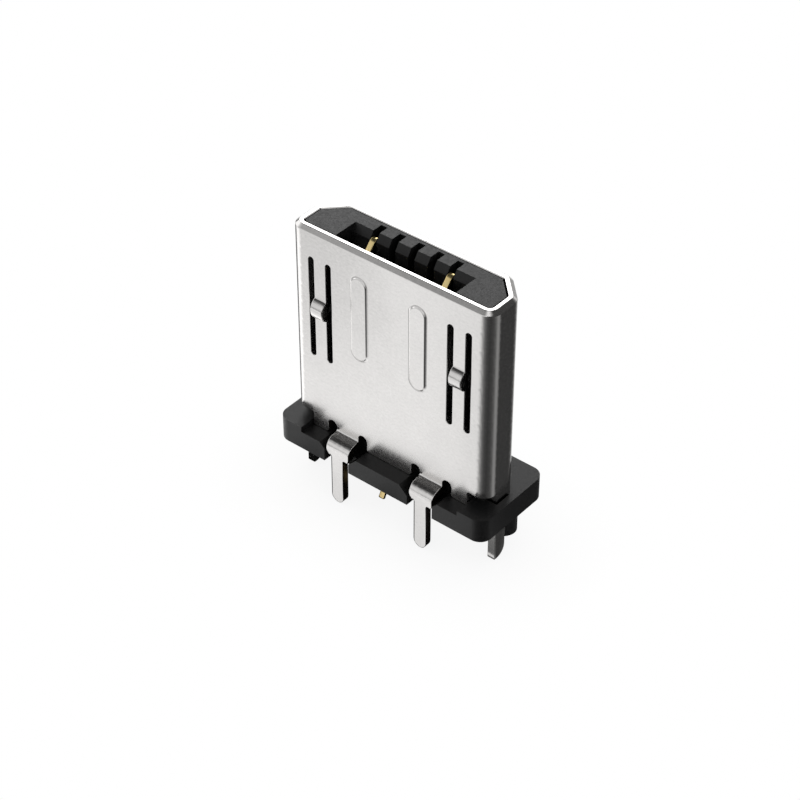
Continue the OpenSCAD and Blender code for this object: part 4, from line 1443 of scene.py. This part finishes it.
def carried_strip(x, corners):
    """A rounded rectangle carried along a bent line in the upright plane at x, wider at the barbs
    and drawn in along a quarter circle at both ends; a fan of triangles closes each end."""
    at, total, s = strip_line(corners, CONTACT_R)
    barbs, widths = half_widths(at, total)
    ends = (END_POINT, CONTACT_EDGE, total - CONTACT_EDGE, total - END_POINT)
    s = np.unique(np.concatenate((s, ends, barbs)))
    centre, way = at(s)
    short = np.clip(CONTACT_EDGE - np.minimum(s, total - s), 0, None)
    drawn = CONTACT_EDGE - np.sqrt(np.clip(CONTACT_EDGE**2 - short**2, 0, None))
    turn = np.linspace(0, math.pi / 2, ARC_CORNERS)
    arc = CONTACT_EDGE * np.column_stack((np.cos(turn), np.sin(turn)))
    round_part = np.vstack((arc, arc[::-1] * FLIP[1], arc * FLIP[2], arc[::-1] * FLIP[3]))
    square_part = np.repeat(FLIP, ARC_CORNERS, axis=0)
    half_w = np.interp(s, barbs, widths)
    u = square_part[:, 0] * (half_w - CONTACT_EDGE - drawn)[:, None] + round_part[:, 0]
    v = square_part[:, 1] * (CONTACT_T / 2 - CONTACT_EDGE - drawn)[:, None] + round_part[:, 1]
    y = centre[:, :1] - np.sin(way)[:, None] * v
    z = centre[:, 1:] + np.cos(way)[:, None] * v
    return np.stack((x + u, y, z), axis=-1)


sample = carried_strip(0.0, contact_corners(1))
print("sections and points on each:", sample.shape[:2])

# %% The five contacts
PITCH = 0.65


def closed_tube(rings):
    """Points, end triangles and side quads of a tube through rings of points, closed at both ends
    by fans around their middles."""
    rows, cols = rings.shape[:2]
    j, k = np.meshgrid(np.arange(rows - 1), np.arange(cols), indexing="ij")
    n = (k + 1) % cols
    quads = np.stack((j * cols + k, j * cols + n, (j + 1) * cols + n, (j + 1) * cols + k), axis=-1)
    ring, last = np.arange(cols), (rows - 1) * cols
    after = (ring + 1) % cols
    low, high = np.full(cols, rows * cols), np.full(cols, rows * cols + 1)
    caps = np.vstack(
        (np.column_stack((after, ring, low)), np.column_stack((last + ring, last + after, high)))
    )
    points = np.vstack((rings.reshape(-1, 3), rings[0].mean(0), rings[-1].mean(0)))
    return points, caps, quads.reshape(-1, 4)


contacts = []
for number in range(1, 6):
    rings = carried_strip((number - 3) * PITCH, contact_corners(number))
    points, caps, quads = closed_tube(rings)
    normals = even_normals(points, (halved(quads), 1.0), (caps, 1.0))
    strip = made_mesh(f"spring_contact_{number}", points, caps, quads, gold, normals)
    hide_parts(f"contact_{number}")
    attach(strip, "root")
    contacts.append(strip)
print("contacts:", [len(strip.data.polygons) for strip in contacts])

# %% [markdown]
# ## The moulding
#
# The black moulding is flat faces, grooves and round pegs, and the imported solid
# already has them all exactly, so it stays as it is and only takes its finish.
# Modelling it again would add nothing but chances for a gap.

# %% Dress the moulding
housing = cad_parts["housing"]
housing.data.materials.clear()
housing.data.materials.append(moulding)
print("moulding:", len(housing.data.polygons), "faces in", moulding.name)

# %% [markdown]
# ## Finishing
#
# The dressed plug has to be as large as its solids. This last cell only sets the
# view to the plain Standard transform.

# %% Finish
scene.view_settings.view_transform = "Standard"
